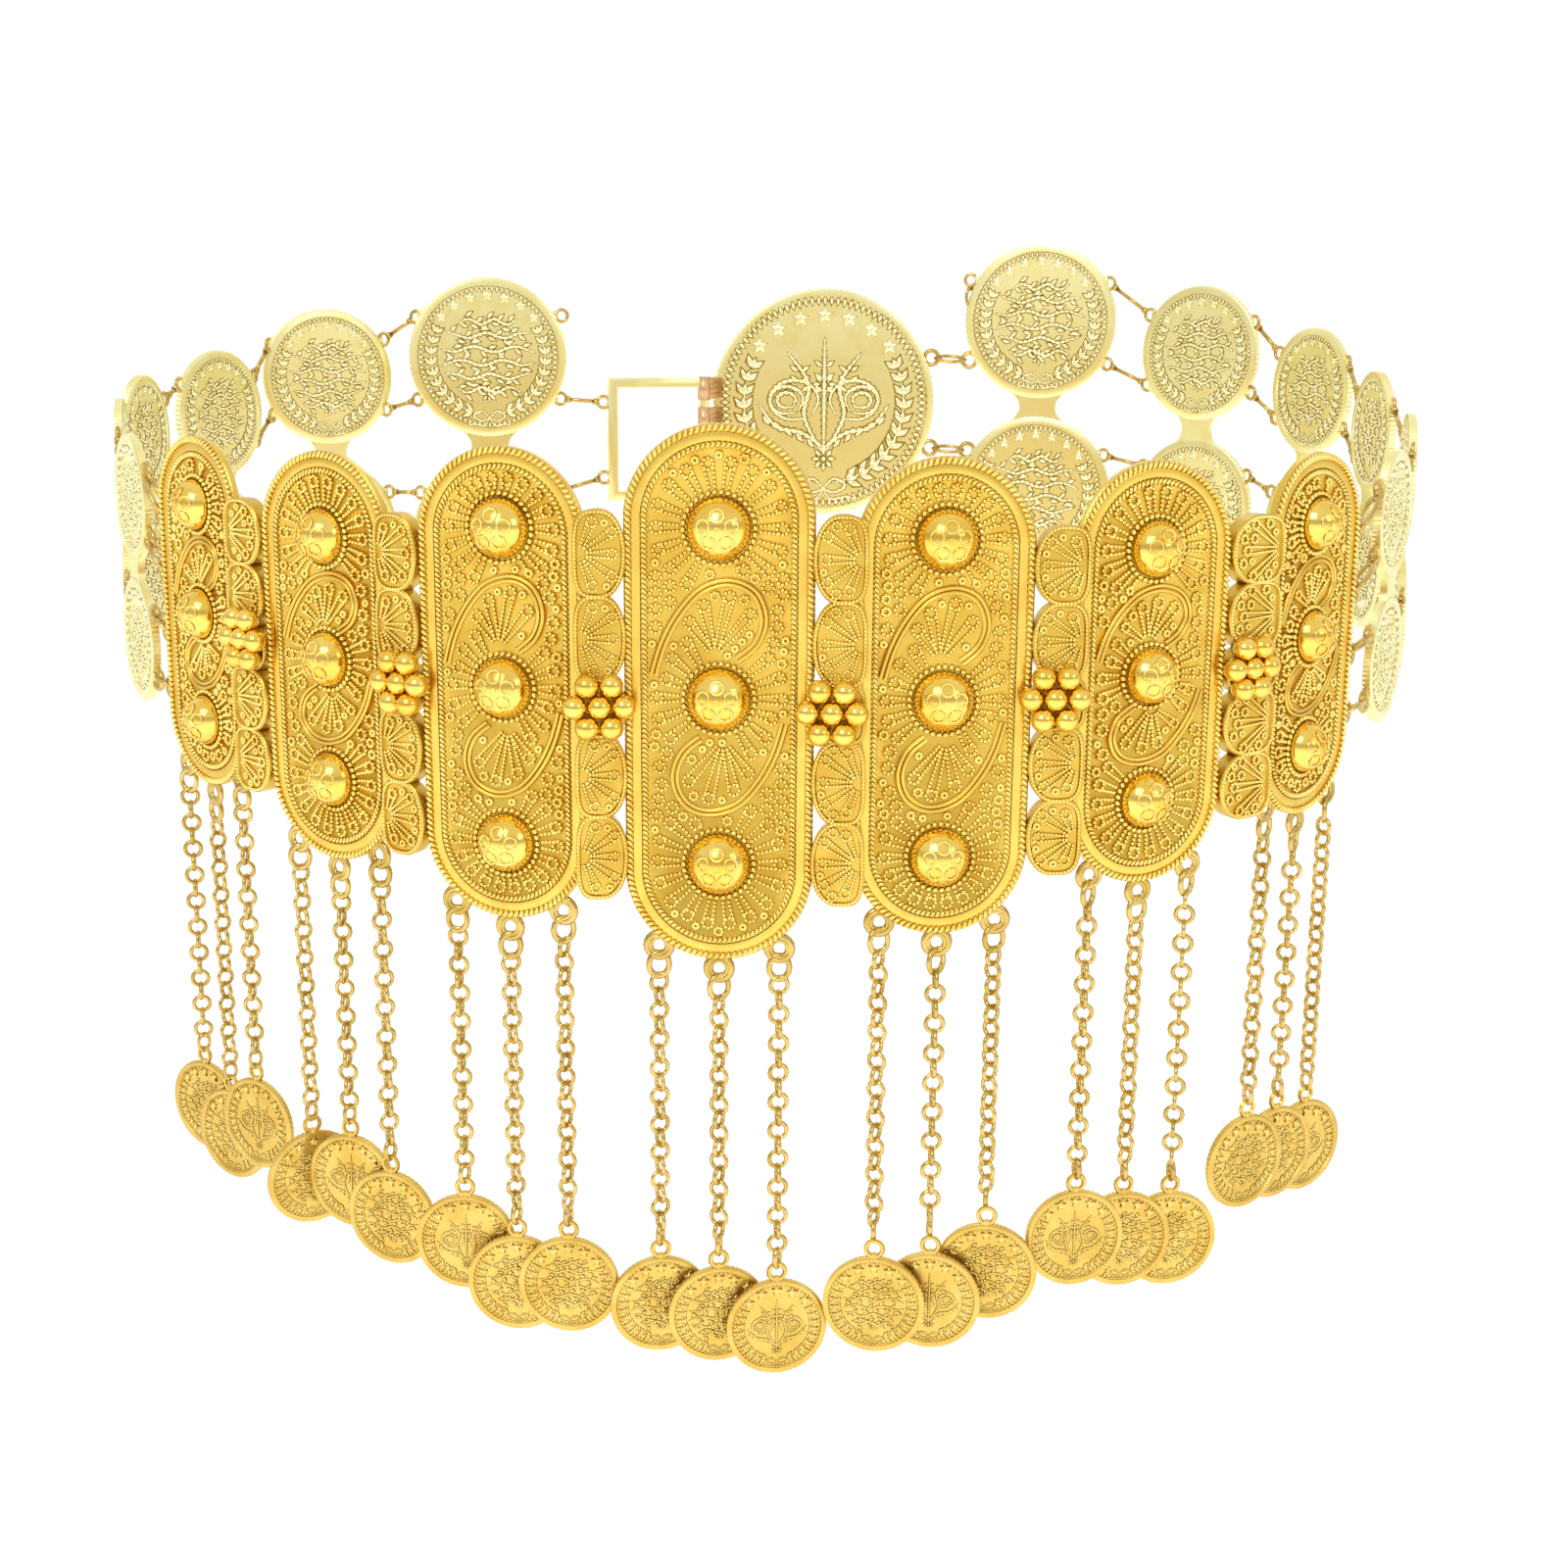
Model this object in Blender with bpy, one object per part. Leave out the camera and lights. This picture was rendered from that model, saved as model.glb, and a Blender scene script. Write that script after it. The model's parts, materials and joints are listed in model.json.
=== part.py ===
"""Coin waist chain: stamped plates, hanging coin drops, double coin links and a disc clasp.

The belt stands as it is worn, upright and closed round the waist. Its front middle plate faces -Y, Z is up
and the origin is the middle of the waist opening. Every piece is a body of its own, a small slip clear
of the next one. Lengths are in metres.
"""
import math

import bmesh
import bpy
from mathutils import Matrix, Vector

MM = 0.001
SLIP = 0.3 * MM              # clearance between pieces that touch on the real belt
RING_SLOPE = 0.177           # rise of the belt per length from front to back
ROUND_SIDES = 18             # faces round a link coin
SMOOTH_ANGLE = math.radians(35)

# Plates
PLATE_DEPTH = 2.8 * MM       # stamped side walls, front to back
PLATE_WALL = 1.2 * MM
PLATE_FLOOR = 0.4 * MM       # depth where the hollow back ends
PLATE_EDGE = 0.5 * MM        # slope of the rim's corners
RIM_WIDTH = 2.4 * MM         # roped border round each plate
FIELD_SINK = 0.5 * MM        # how far the field lies below the rim
BOSS_FOOT = 1.4 * MM         # how far a boss is let into the plate
BOSS_SIDES = 12
LUG_DROP = 2.0 * MM          # how far a chain lug stands below the plate's edge
LUG_WIDTH = 1.8 * MM
LUG_THICK = 1.2 * MM
LUG_ROOT = 1.0 * MM

# A boss from its foot to its crown: share of its radius, and how far it stands out from the rim.
BOSS_SHAPE = [(1.0, -BOSS_FOOT), (0.97, 0.9 * MM), (0.7, 3.4 * MM), (0.2, 5.0 * MM)]

# Drops
SMALL_COIN = 20.0 * MM
SMALL_COIN_THICK = 1.2 * MM
SMALL_COIN_SIDES = 16
CHAIN_WIDE = 3.8 * MM
CHAIN_NARROW = 2.2 * MM
CHAIN_BUMPS = 8
CHAIN_SIDES = 5
CHAIN_HOLD = 1.0 * MM        # how far a chain runs into its coin

# Double links and the wires between them
COIN_THICK = 2.0 * MM
COIN_RIM = 1.8 * MM
COIN_RIM_RISE = 0.5 * MM
BRIDGE_SHARE = 0.28          # width of the bridge against its coins
BRIDGE_THICK = 1.6 * MM
BRIDGE_HOLD = 1.6 * MM       # how far the bridge runs into each coin
WIRE = 1.6 * MM
WIRE_ROOT = 0.8 * MM         # how far a wire runs into the piece that carries it
WIRE_GAP = SLIP + WIRE * 0.7

# Heights of the wires: share of the boss pitch, of the coin, of the frame and of the disc.
PLATE_WIRE_SHARE = 0.8
COIN_WIRE_SHARE = 0.26
FRAME_WIRE_SHARE = 0.3
DISC_WIRE_SHARE = 0.2

# Connectors
STRIP_SHARE = 0.81           # height of a connector against the lower of its plates
STRIP_LOBES = 5
STRIP_WAIST = 0.75           # width between two lobes against the full width
STRIP_STEPS = 24
STRIP_GAP = 0.75 * MM        # clearance of the slanting plates' edges
STRIP_FRONT = -1.2 * MM
STRIP_BACK = 1.4 * MM
STRIP_DROP = 2.3 * MM        # how far a connector's middle lies below its rosette
NECK_RADIUS = 2.4 * MM
NECK_ROOT = 0.5 * MM
ROSETTE_WIDTH = 13.0 * MM
ROSETTE_SIDES = 12
ROSETTE_LIFT = 0.5 * MM      # clearance of the rosette's back in front of the plates

# The rosette from its back to its front: share of its radius, and how far it stands out.
ROSETTE_SHAPE = [(0.8, 0.0), (1.0, 1.6 * MM), (0.9, 3.4 * MM), (0.4, 6.0 * MM)]

# Clasp
DISC_WIDTH = 64.0 * MM
DISC_THICK = 2.6 * MM
DISC_SIDES = 32
TAB_RAISE = 4.2 * MM         # height of the two tabs above and below the disc's middle
TAB_WIDTH = 3.0 * MM
TAB_ROOT = 3.0 * MM
TAB_GAP = SLIP + 0.8 * MM
FRAME_WIDTH = 29.0 * MM
FRAME_HEIGHT = 34.0 * MM
FRAME_BAR = 2.8 * MM
FRAME_THICK = 2.4 * MM

# The plates: width, height, distance from the middle boss to the outer ones, boss width, drop spacing.
PLATE_SIZES = {
    "centre": dict(width=35.0, height=100.0, boss_pitch=31.2, boss=11.8, drop_pitch=11.4),
    "inner": dict(width=33.0, height=89.0, boss_pitch=29.6, boss=11.4, drop_pitch=11.0),
    "middle": dict(width=33.0, height=80.0, boss_pitch=23.8, boss=10.8, drop_pitch=11.0),
    "outer": dict(width=30.0, height=72.0, boss_pitch=22.2, boss=10.4, drop_pitch=10.8),
}

# The double coin links, from the clasp to the plates: coin width and full height of the pair.
LINK_SIZES = {
    "first": dict(coin=43.0, height=91.0),
    "second": dict(coin=36.0, height=77.0),
    "third": dict(coin=32.0, height=68.0),
    "fourth": dict(coin=29.0, height=62.0),
    "fifth": dict(coin=28.0, height=60.0),
    "sixth": dict(coin=27.0, height=58.0),
}

# The three drops under each plate: from the lug to the middle of each coin, how far each coin is turned,
# and how far the coins hang out in front of their chains.
DROPS = {
    "plate_left_3": dict(lengths=(77.0, 76.0, 75.0), turns=(13, 13, 13), lift=0.0),
    "plate_left_2": dict(lengths=(72.5, 66.5, 76.0), turns=(65, 13, 13), lift=0.0),
    "plate_left_1": dict(lengths=(70.5, 73.5, 76.5), turns=(13, 13, 13), lift=0.0),
    "plate_centre": dict(lengths=(73.5, 71.0, 77.5), turns=(13, 13, 13), lift=0.0),
    "plate_right_1": dict(lengths=(77.0, 72.5, 71.0), turns=(-13, -13, -13), lift=1.6),
    "plate_right_2": dict(lengths=(74.0, 72.0, 78.0), turns=(-13, -13, -13), lift=0.0),
    "plate_right_3": dict(lengths=(74.5, 71.0, 77.0), turns=(-13, -13, -13), lift=0.0),
}

# Where each piece stands in plan, in order round the belt: name, kind, size, x, y and how far it sags
# below the sloping ring, with a minus where it stands above it.
STATIONS = [
    ("clasp_frame", "frame", "", -30.0, 100.5, 7.0),
    ("link_left_1", "link", "first", -76.0, 90.0, 6.6),
    ("link_left_2", "link", "second", -119.0, 84.0, 7.5),
    ("link_left_3", "link", "third", -140.5, 52.0, 7.5),
    ("link_left_4", "link", "fourth", -150.0, 18.0, 3.5),
    ("link_left_5", "link", "fifth", -146.0, -13.0, 1.0),
    ("link_left_6", "link", "sixth", -135.0, -43.0, 0.5),
    ("plate_left_3", "plate", "outer", -113.0, -71.0, 1.0),
    ("plate_left_2", "plate", "middle", -82.0, -97.0, 1.2),
    ("plate_left_1", "plate", "inner", -46.0, -115.0, 0.0),
    ("plate_centre", "plate", "centre", -6.0, -120.0, 0.0),
    ("plate_right_1", "plate", "inner", 35.0, -120.0, 0.0),
    ("plate_right_2", "plate", "middle", 74.0, -111.0, -1.8),
    ("plate_right_3", "plate", "outer", 109.0, -88.0, -1.8),
    ("link_right_6", "link", "sixth", 134.0, -54.0, -1.0),
    ("link_right_5", "link", "fifth", 145.5, -22.0, 0.0),
    ("link_right_4", "link", "fourth", 148.0, 17.0, 0.0),
    ("link_right_3", "link", "third", 141.5, 54.0, 0.0),
    ("link_right_2", "link", "second", 118.5, 87.0, 0.0),
    ("link_right_1", "link", "first", 77.5, 112.0, 0.0),
    ("clasp_disc", "disc", "", 16.5, 116.0, 0.0),
]


def clear_scene():
    """Start from an empty scene."""
    for obj in list(bpy.data.objects):
        bpy.data.objects.remove(obj, do_unlink=True)


def metal(name, colour, roughness):
    """A plain metal finish."""
    mat = bpy.data.materials.new(name)
    mat.use_nodes = True
    shader = mat.node_tree.nodes["Principled BSDF"]
    shader.inputs["Base Color"].default_value = (*colour, 1.0)
    shader.inputs["Metallic"].default_value = 1.0
    shader.inputs["Roughness"].default_value = roughness
    return mat


def solid(name, loops):
    """A closed body from a stack of equal closed loops, capped at both ends."""
    bm = bmesh.new()
    rows = [[bm.verts.new(p) for p in loop] for loop in loops]
    count = len(rows[0])
    for low, high in zip(rows[:-1], rows[1:]):
        for i in range(count):
            j = (i + 1) % count
            bm.faces.new((low[i], low[j], high[j], high[i]))
    bm.faces.new(rows[0])
    bm.faces.new(list(reversed(rows[-1])))
    bmesh.ops.recalc_face_normals(bm, faces=bm.faces)
    mesh = bpy.data.meshes.new(name)
    bm.to_mesh(mesh)
    bm.free()
    obj = bpy.data.objects.new(name, mesh)
    bpy.context.scene.collection.objects.link(obj)
    return obj


def around(radius, sides):
    """Even points round a circle."""
    step = 2 * math.pi / sides
    return [(radius * math.cos(i * step), radius * math.sin(i * step)) for i in range(sides)]


def round_loop(radius, y, sides, x=0.0, z=0.0):
    """A circle that faces the front."""
    return [(x + a, y, z + b) for a, b in around(radius, sides)]


def stadium_loop(width, height, inset, y, arc=9):
    """An upright outline with straight sides and half-round ends."""
    r = width / 2 - inset
    straight = height / 2 - width / 2
    points = []
    for side in (1, -1):
        for i in range(arc + 1):
            a = math.pi * i / arc
            points.append((side * r * math.cos(a), y, side * (straight + r * math.sin(a))))
    return points


def box(name, x0, x1, y0, y1, z0, z1):
    """An upright block between its limits."""
    low = [(x0, y0, z0), (x1, y0, z0), (x1, y1, z0), (x0, y1, z0)]
    return solid(name, [low, [(x, y, z1) for x, y, _ in low]])


def rod(name, start, end, width, sides=6):
    """A round bar between two points."""
    axis = (end - start).normalized()
    across = axis.orthogonal().normalized()
    other = axis.cross(across)
    ring = [across * a + other * b for a, b in around(width / 2, sides)]
    return solid(name, [[tuple(p + r) for r in ring] for p in (start, end)])


def joined(base, extras):
    """One closed body from a base and the pieces fused to it."""
    for extra in extras:
        union = base.modifiers.new("join", "BOOLEAN")
        union.operation = "UNION"
        union.solver = "EXACT"
        union.object = extra
        bpy.context.view_layer.objects.active = base
        bpy.ops.object.modifier_apply(modifier=union.name)
        bpy.data.objects.remove(extra, do_unlink=True)
    return base


def finished(obj, mat, place=None):
    """Set a piece in its place on the belt, round faces smooth."""
    if place is not None:
        obj.data.transform(place)
    obj.data.materials.clear()
    obj.data.materials.append(mat)
    obj.data.shade_smooth()
    obj.data.set_sharp_from_angle(angle=SMOOTH_ANGLE)
    return obj


def place_of(index):
    """The frame of a station: X runs to the right along the belt, Y points inward, Z is up."""
    count = len(STATIONS)
    before = STATIONS[(index - 1) % count]
    after = STATIONS[(index + 1) % count]
    here = STATIONS[index]
    heading = math.atan2(after[4] - before[4], after[3] - before[3])
    spot = Vector((here[3] * MM, here[4] * MM, (RING_SLOPE * here[4] - here[5]) * MM))
    return Matrix.Translation(spot) @ Matrix.Rotation(heading, 4, "Z")


def link_size(name):
    """Coin width of a double link, and the height of its upper coin's middle."""
    size = LINK_SIZES[name]
    coin = size["coin"] * MM
    return coin, (size["height"] * MM - coin) / 2


def joint_heights(kind, size):
    """Heights of the wires on a piece's side, with the distance out to its edge there."""
    if kind == "plate":
        dims = PLATE_SIZES[size]
        reach = dims["boss_pitch"] * MM * PLATE_WIRE_SHARE
        return [(z, dims["width"] * MM / 2) for z in (reach, reach / 3, -reach / 3, -reach)]
    if kind == "link":
        coin, half = link_size(size)
        step = coin * COIN_WIRE_SHARE
        edge = math.sqrt((coin / 2) ** 2 - step ** 2)
        return [(z, edge) for z in (half + step, half - step, step - half, -half - step)]
    if kind == "frame":
        return [(side * FRAME_HEIGHT * FRAME_WIRE_SHARE, FRAME_WIDTH / 2) for side in (1, -1)]
    height = DISC_WIDTH * DISC_WIRE_SHARE
    edge = math.sqrt((DISC_WIDTH / 2) ** 2 - height ** 2)
    return [(side * height, edge) for side in (1, -1)]


def bars_to_next(index, local):
    """The wire links from a piece to the next one, in the piece's own frame."""
    count = len(STATIONS)
    other = (index + 1) % count
    here = joint_heights(*STATIONS[index][1:3])
    there = joint_heights(*STATIONS[other][1:3])
    if len(here) != len(there):
        here = here if len(here) == 2 else here[1:3]
        there = there if len(there) == 2 else there[1:3]
    back = local.inverted() @ place_of(other)
    bars = []
    for (z, edge), (far_z, far_edge) in zip(here, there):
        start = Vector((edge - WIRE_ROOT, 0.0, z))
        end = back @ Vector((-far_edge, 0.0, far_z))
        end -= (end - start).normalized() * WIRE_GAP
        bars.append(rod("bar", start, end, WIRE))
    return bars


def make_plate(name, size):
    """A stamped plate, hollow at the back, with three bosses and three chain lugs."""
    dims = {key: value * MM for key, value in PLATE_SIZES[size].items()}
    width, height = dims["width"], dims["height"]
    front, back = -PLATE_DEPTH / 2, PLATE_DEPTH / 2
    section = [
        (PLATE_WALL, PLATE_FLOOR),
        (PLATE_WALL, back),
        (0.0, back),
        (0.0, front + PLATE_EDGE),
        (PLATE_EDGE, front),
        (RIM_WIDTH, front),
        (RIM_WIDTH + PLATE_EDGE, front + FIELD_SINK),
    ]
    plate = solid(name, [stadium_loop(width, height, inset, y) for inset, y in section])
    extras = []
    boss = dims["boss"] / 2
    for z in (-dims["boss_pitch"], 0.0, dims["boss_pitch"]):
        loops = [round_loop(boss * share, front - out, BOSS_SIDES, 0.0, z) for share, out in BOSS_SHAPE]
        extras.append(solid("boss", loops))
    for x, edge in drop_tops(size):
        extras.append(box("lug", x - LUG_WIDTH / 2, x + LUG_WIDTH / 2, -LUG_THICK / 2, LUG_THICK / 2,
                          edge - LUG_DROP, edge + LUG_ROOT))
    return joined(plate, extras)


def drop_tops(size):
    """Sideways place of the three drops on a plate, with the height of the plate's edge there."""
    dims = {key: value * MM for key, value in PLATE_SIZES[size].items()}
    r = dims["width"] / 2
    tops = []
    for i in (-1, 0, 1):
        x = i * dims["drop_pitch"]
        tops.append((x, -(dims["height"] / 2 - r) - math.sqrt(r * r - x * x)))
    return tops


def make_drop(name, x, edge, length, turn, lift):
    """A chain with a small coin at its end, as one body."""
    top = edge - LUG_DROP - SLIP
    coin_z = edge - LUG_DROP - length
    bottom = coin_z + SMALL_COIN / 2 - CHAIN_HOLD
    loops = []
    for i in range(2 * CHAIN_BUMPS + 1):
        z = top + (bottom - top) * i / (2 * CHAIN_BUMPS)
        r = (CHAIN_WIDE if i % 2 else CHAIN_NARROW) / 2
        loops.append([(x + a, b, z) for a, b in around(r, CHAIN_SIDES)])
    chain = solid(name, loops)
    half = SMALL_COIN_THICK / 2
    coin = solid("coin", [round_loop(SMALL_COIN / 2, y, SMALL_COIN_SIDES) for y in (-half, half)])
    coin.data.transform(Matrix.Translation((x, -lift, coin_z)) @ Matrix.Rotation(turn, 4, "Z"))
    return joined(chain, [coin])


def coin_body(name, width, thick, z=0.0, sides=ROUND_SIDES):
    """A thick coin with a raised rim on both faces."""
    r = width / 2
    half = thick / 2
    inner = r - COIN_RIM
    rows = [(inner, -half), (r, -half - COIN_RIM_RISE), (r, half + COIN_RIM_RISE), (inner, half)]
    return solid(name, [round_loop(k, y, sides, 0.0, z) for k, y in rows])


def make_link(name, index, size, local):
    """Two coins, one above the other, with the wires to the next piece."""
    coin, half = link_size(size)
    upper = coin_body(name, coin, COIN_THICK, half)
    lower = coin_body("lower", coin, COIN_THICK, -half)
    gap = half - coin / 2 + BRIDGE_HOLD
    wide, thick = coin * BRIDGE_SHARE / 2, BRIDGE_THICK / 2
    bridge = box("bridge", -wide, wide, -thick, thick, -gap, gap)
    return joined(upper, [bridge, lower] + bars_to_next(index, local))


def make_frame(name, index, local):
    """The open frame that the clasp's hook closes on."""
    w, h, thick = FRAME_WIDTH / 2, FRAME_HEIGHT / 2, FRAME_THICK / 2
    loops = []
    for inset, y in ((0.0, -thick), (0.0, thick), (FRAME_BAR, thick), (FRAME_BAR, -thick)):
        loops.append([(sx * (w - inset), y, sz * (h - inset)) for sx, sz in ((1, 1), (-1, 1), (-1, -1), (1, -1))])
    bm = bmesh.new()
    rows = [[bm.verts.new(p) for p in loop] for loop in loops]
    for low, high in zip(rows, rows[1:] + rows[:1]):
        for i in range(4):
            j = (i + 1) % 4
            bm.faces.new((low[i], low[j], high[j], high[i]))
    bmesh.ops.recalc_face_normals(bm, faces=bm.faces)
    mesh = bpy.data.meshes.new(name)
    bm.to_mesh(mesh)
    bm.free()
    frame = bpy.data.objects.new(name, mesh)
    bpy.context.scene.collection.objects.link(frame)
    return joined(frame, bars_to_next(index, local))


def make_disc(name, index, local):
    """The large clasp disc with the two tabs that hook round the frame."""
    disc = coin_body(name, DISC_WIDTH, DISC_THICK, 0.0, DISC_SIDES)
    target = local.inverted() @ place_of(0)
    extras = []
    for z in (-TAB_RAISE, TAB_RAISE):
        start = Vector((DISC_WIDTH / 2 - TAB_ROOT, 0.0, z))
        end = target @ Vector((-FRAME_WIDTH / 2, 0.0, 0.0))
        end.z = z
        end -= (end - start).normalized() * TAB_GAP
        extras.append(rod("tab", start, end, TAB_WIDTH, 8))
    return joined(disc, extras)


def make_connector(name, index):
    """A scalloped strip with a rosette, between two plates."""
    left, right = place_of(index), place_of(index + 1)
    width_a = PLATE_SIZES[STATIONS[index][2]]["width"] * MM / 2
    width_b = PLATE_SIZES[STATIONS[index + 1][2]]["width"] * MM / 2
    start = left @ Vector((width_a, 0.0, 0.0))
    end = right @ Vector((-width_b, 0.0, 0.0))
    run = end - start
    local = Matrix.Translation((start + end) / 2) @ Matrix.Rotation(math.atan2(run.y, run.x), 4, "Z")
    height = STRIP_SHARE * min(PLATE_SIZES[STATIONS[i][2]]["height"] for i in (index, index + 1)) * MM
    half = run.to_2d().length / 2 - STRIP_GAP
    lobe = height / STRIP_LOBES
    edge = []
    for i in range(STRIP_STEPS + 1):
        z = height * (i / STRIP_STEPS - 0.5)
        swell = math.sqrt(abs(math.cos(math.pi * z / lobe))) if abs(z) < height / 2 else 0.0
        edge.append((half * (STRIP_WAIST + (1 - STRIP_WAIST) * swell), z - STRIP_DROP))
    outline = edge + [(-x, z) for x, z in reversed(edge)]
    strip = solid(name, [[(x, y, z) for x, z in outline] for y in (STRIP_FRONT, STRIP_BACK)])
    face = -PLATE_DEPTH / 2 - SLIP - ROSETTE_LIFT
    neck = solid("neck", [round_loop(NECK_RADIUS, y, 8) for y in (NECK_ROOT, face - NECK_ROOT)])
    loops = [round_loop(ROSETTE_WIDTH / 2 * share, face - out, ROSETTE_SIDES) for share, out in ROSETTE_SHAPE]
    rosette = solid("rosette", loops)
    return joined(strip, [neck, rosette]), local


def build():
    """Make every piece in its place."""
    clear_scene()
    deep = metal("gilt_deep", (0.83, 0.50, 0.12), 0.26)
    pale = metal("gilt_pale", (0.86, 0.66, 0.30), 0.30)
    for index, (name, kind, size, *_) in enumerate(STATIONS):
        local = place_of(index)
        if kind == "plate":
            plate = make_plate(name, size)
            if STATIONS[index + 1][1] == "link":
                joined(plate, bars_to_next(index, local))
            finished(plate, deep, local)
            drops = DROPS[name]
            for number, (x, edge) in enumerate(drop_tops(size)):
                drop = make_drop(name.replace("plate", "drop") + f"_{number + 1}", x, edge,
                                 drops["lengths"][number] * MM, math.radians(drops["turns"][number]),
                                 drops["lift"] * MM)
                finished(drop, deep, local)
            if STATIONS[index + 1][1] == "plate":
                strip, between = make_connector(name.replace("plate", "connector"), index)
                finished(strip, deep, between)
        elif kind == "link":
            finished(make_link(name, index, size, local), pale, local)
        elif kind == "frame":
            finished(make_frame(name, index, local), pale, local)
        else:
            finished(make_disc(name, index, local), pale, local)


build()
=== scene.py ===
"""Dresses the coin waist chain: stamped filigree plates, coin drops, double coin links and the disc clasp.

Every piece is modelled in its own upright frame, where X runs along the belt, Y points inward to the waist
and Z is up, and is then set in its place round the belt. Lengths are in metres.
"""
from __future__ import annotations

import json
import logging
import math
from dataclasses import dataclass, field
from enum import Enum
from typing import Any, Callable, Iterable, Sequence

import bpy
import numpy as np
from mathutils import Matrix, Vector

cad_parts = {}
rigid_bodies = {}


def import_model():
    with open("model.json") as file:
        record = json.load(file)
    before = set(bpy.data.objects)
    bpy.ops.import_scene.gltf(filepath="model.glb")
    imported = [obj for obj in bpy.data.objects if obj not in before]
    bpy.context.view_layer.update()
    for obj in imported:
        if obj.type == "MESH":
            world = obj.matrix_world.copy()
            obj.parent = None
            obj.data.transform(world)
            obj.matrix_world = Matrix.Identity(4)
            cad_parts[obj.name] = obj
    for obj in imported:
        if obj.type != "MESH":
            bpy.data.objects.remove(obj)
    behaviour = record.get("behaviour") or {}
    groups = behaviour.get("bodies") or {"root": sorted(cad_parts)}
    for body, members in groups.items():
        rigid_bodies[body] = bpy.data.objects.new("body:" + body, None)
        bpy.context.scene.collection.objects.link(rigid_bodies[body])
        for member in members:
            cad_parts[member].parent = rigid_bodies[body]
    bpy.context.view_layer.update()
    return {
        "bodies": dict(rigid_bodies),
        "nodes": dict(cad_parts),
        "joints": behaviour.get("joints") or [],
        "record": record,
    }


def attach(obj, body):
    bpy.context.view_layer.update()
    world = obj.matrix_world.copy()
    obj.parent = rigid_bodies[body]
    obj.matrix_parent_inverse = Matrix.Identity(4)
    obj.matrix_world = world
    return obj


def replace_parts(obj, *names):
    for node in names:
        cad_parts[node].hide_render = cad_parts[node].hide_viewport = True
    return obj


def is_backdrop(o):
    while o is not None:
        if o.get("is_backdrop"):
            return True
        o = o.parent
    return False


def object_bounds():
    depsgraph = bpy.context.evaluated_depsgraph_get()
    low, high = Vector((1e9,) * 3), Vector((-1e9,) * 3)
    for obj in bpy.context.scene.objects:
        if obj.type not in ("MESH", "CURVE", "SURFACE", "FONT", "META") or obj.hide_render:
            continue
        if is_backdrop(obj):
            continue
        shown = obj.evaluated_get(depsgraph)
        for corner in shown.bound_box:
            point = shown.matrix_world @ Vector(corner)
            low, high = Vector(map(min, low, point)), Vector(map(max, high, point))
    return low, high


LOG = logging.getLogger("waist_chain")
MM = 0.001
BODY = "root"
Place = Matrix
Point = tuple[float, float, float]


class Kind(Enum):
    """What stands at a place on the belt."""

    PLATE = "plate"
    LINK = "link"
    FRAME = "frame"
    DISC = "disc"


class Side(Enum):
    """The two faces of a coin, as a turn about the upright axis."""

    OUTER = 0.0
    INNER = math.pi


@dataclass(frozen=True)
class Station:
    """One piece's place in plan, in millimetres, with its sag below the sloping ring."""

    name: str
    kind: Kind
    size: str
    x: float
    y: float
    sag: float = 0.0


@dataclass(frozen=True)
class PlateSize:
    """A plate's sizes in millimetres."""

    width: float
    height: float
    boss_pitch: float
    boss: float
    drop_pitch: float


PLATE_SIZES = {
    "centre": PlateSize(35.0, 100.0, 31.2, 11.8, 11.4),
    "inner": PlateSize(33.0, 89.0, 29.6, 11.4, 11.0),
    "middle": PlateSize(33.0, 80.0, 23.8, 10.8, 11.0),
    "outer": PlateSize(30.0, 72.0, 22.2, 10.4, 10.8),
}

# Coin width and full height of each double link, in millimetres, from the clasp to the plates.
LINK_SIZES = {
    "first": (43.0, 91.0),
    "second": (36.0, 77.0),
    "third": (32.0, 68.0),
    "fourth": (29.0, 62.0),
    "fifth": (28.0, 60.0),
    "sixth": (27.0, 58.0),
}


@dataclass(frozen=True)
class DropSet:
    """Three drops under a plate: lengths and stand-off in millimetres, turns of the coins in degrees."""

    lengths: tuple[float, float, float]
    turns: tuple[float, float, float] = (13.0, 13.0, 13.0)
    lift: float = 0.0


DROPS = {
    "plate_left_3": DropSet((77.0, 76.0, 75.0)),
    "plate_left_2": DropSet((72.5, 66.5, 76.0), (65.0, 13.0, 13.0)),
    "plate_left_1": DropSet((70.5, 73.5, 76.5)),
    "plate_centre": DropSet((73.5, 71.0, 77.5)),
    "plate_right_1": DropSet((77.0, 72.5, 71.0), (-13.0, -13.0, -13.0), 1.6),
    "plate_right_2": DropSet((74.0, 72.0, 78.0), (-13.0, -13.0, -13.0)),
    "plate_right_3": DropSet((74.5, 71.0, 77.0), (-13.0, -13.0, -13.0)),
}

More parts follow.
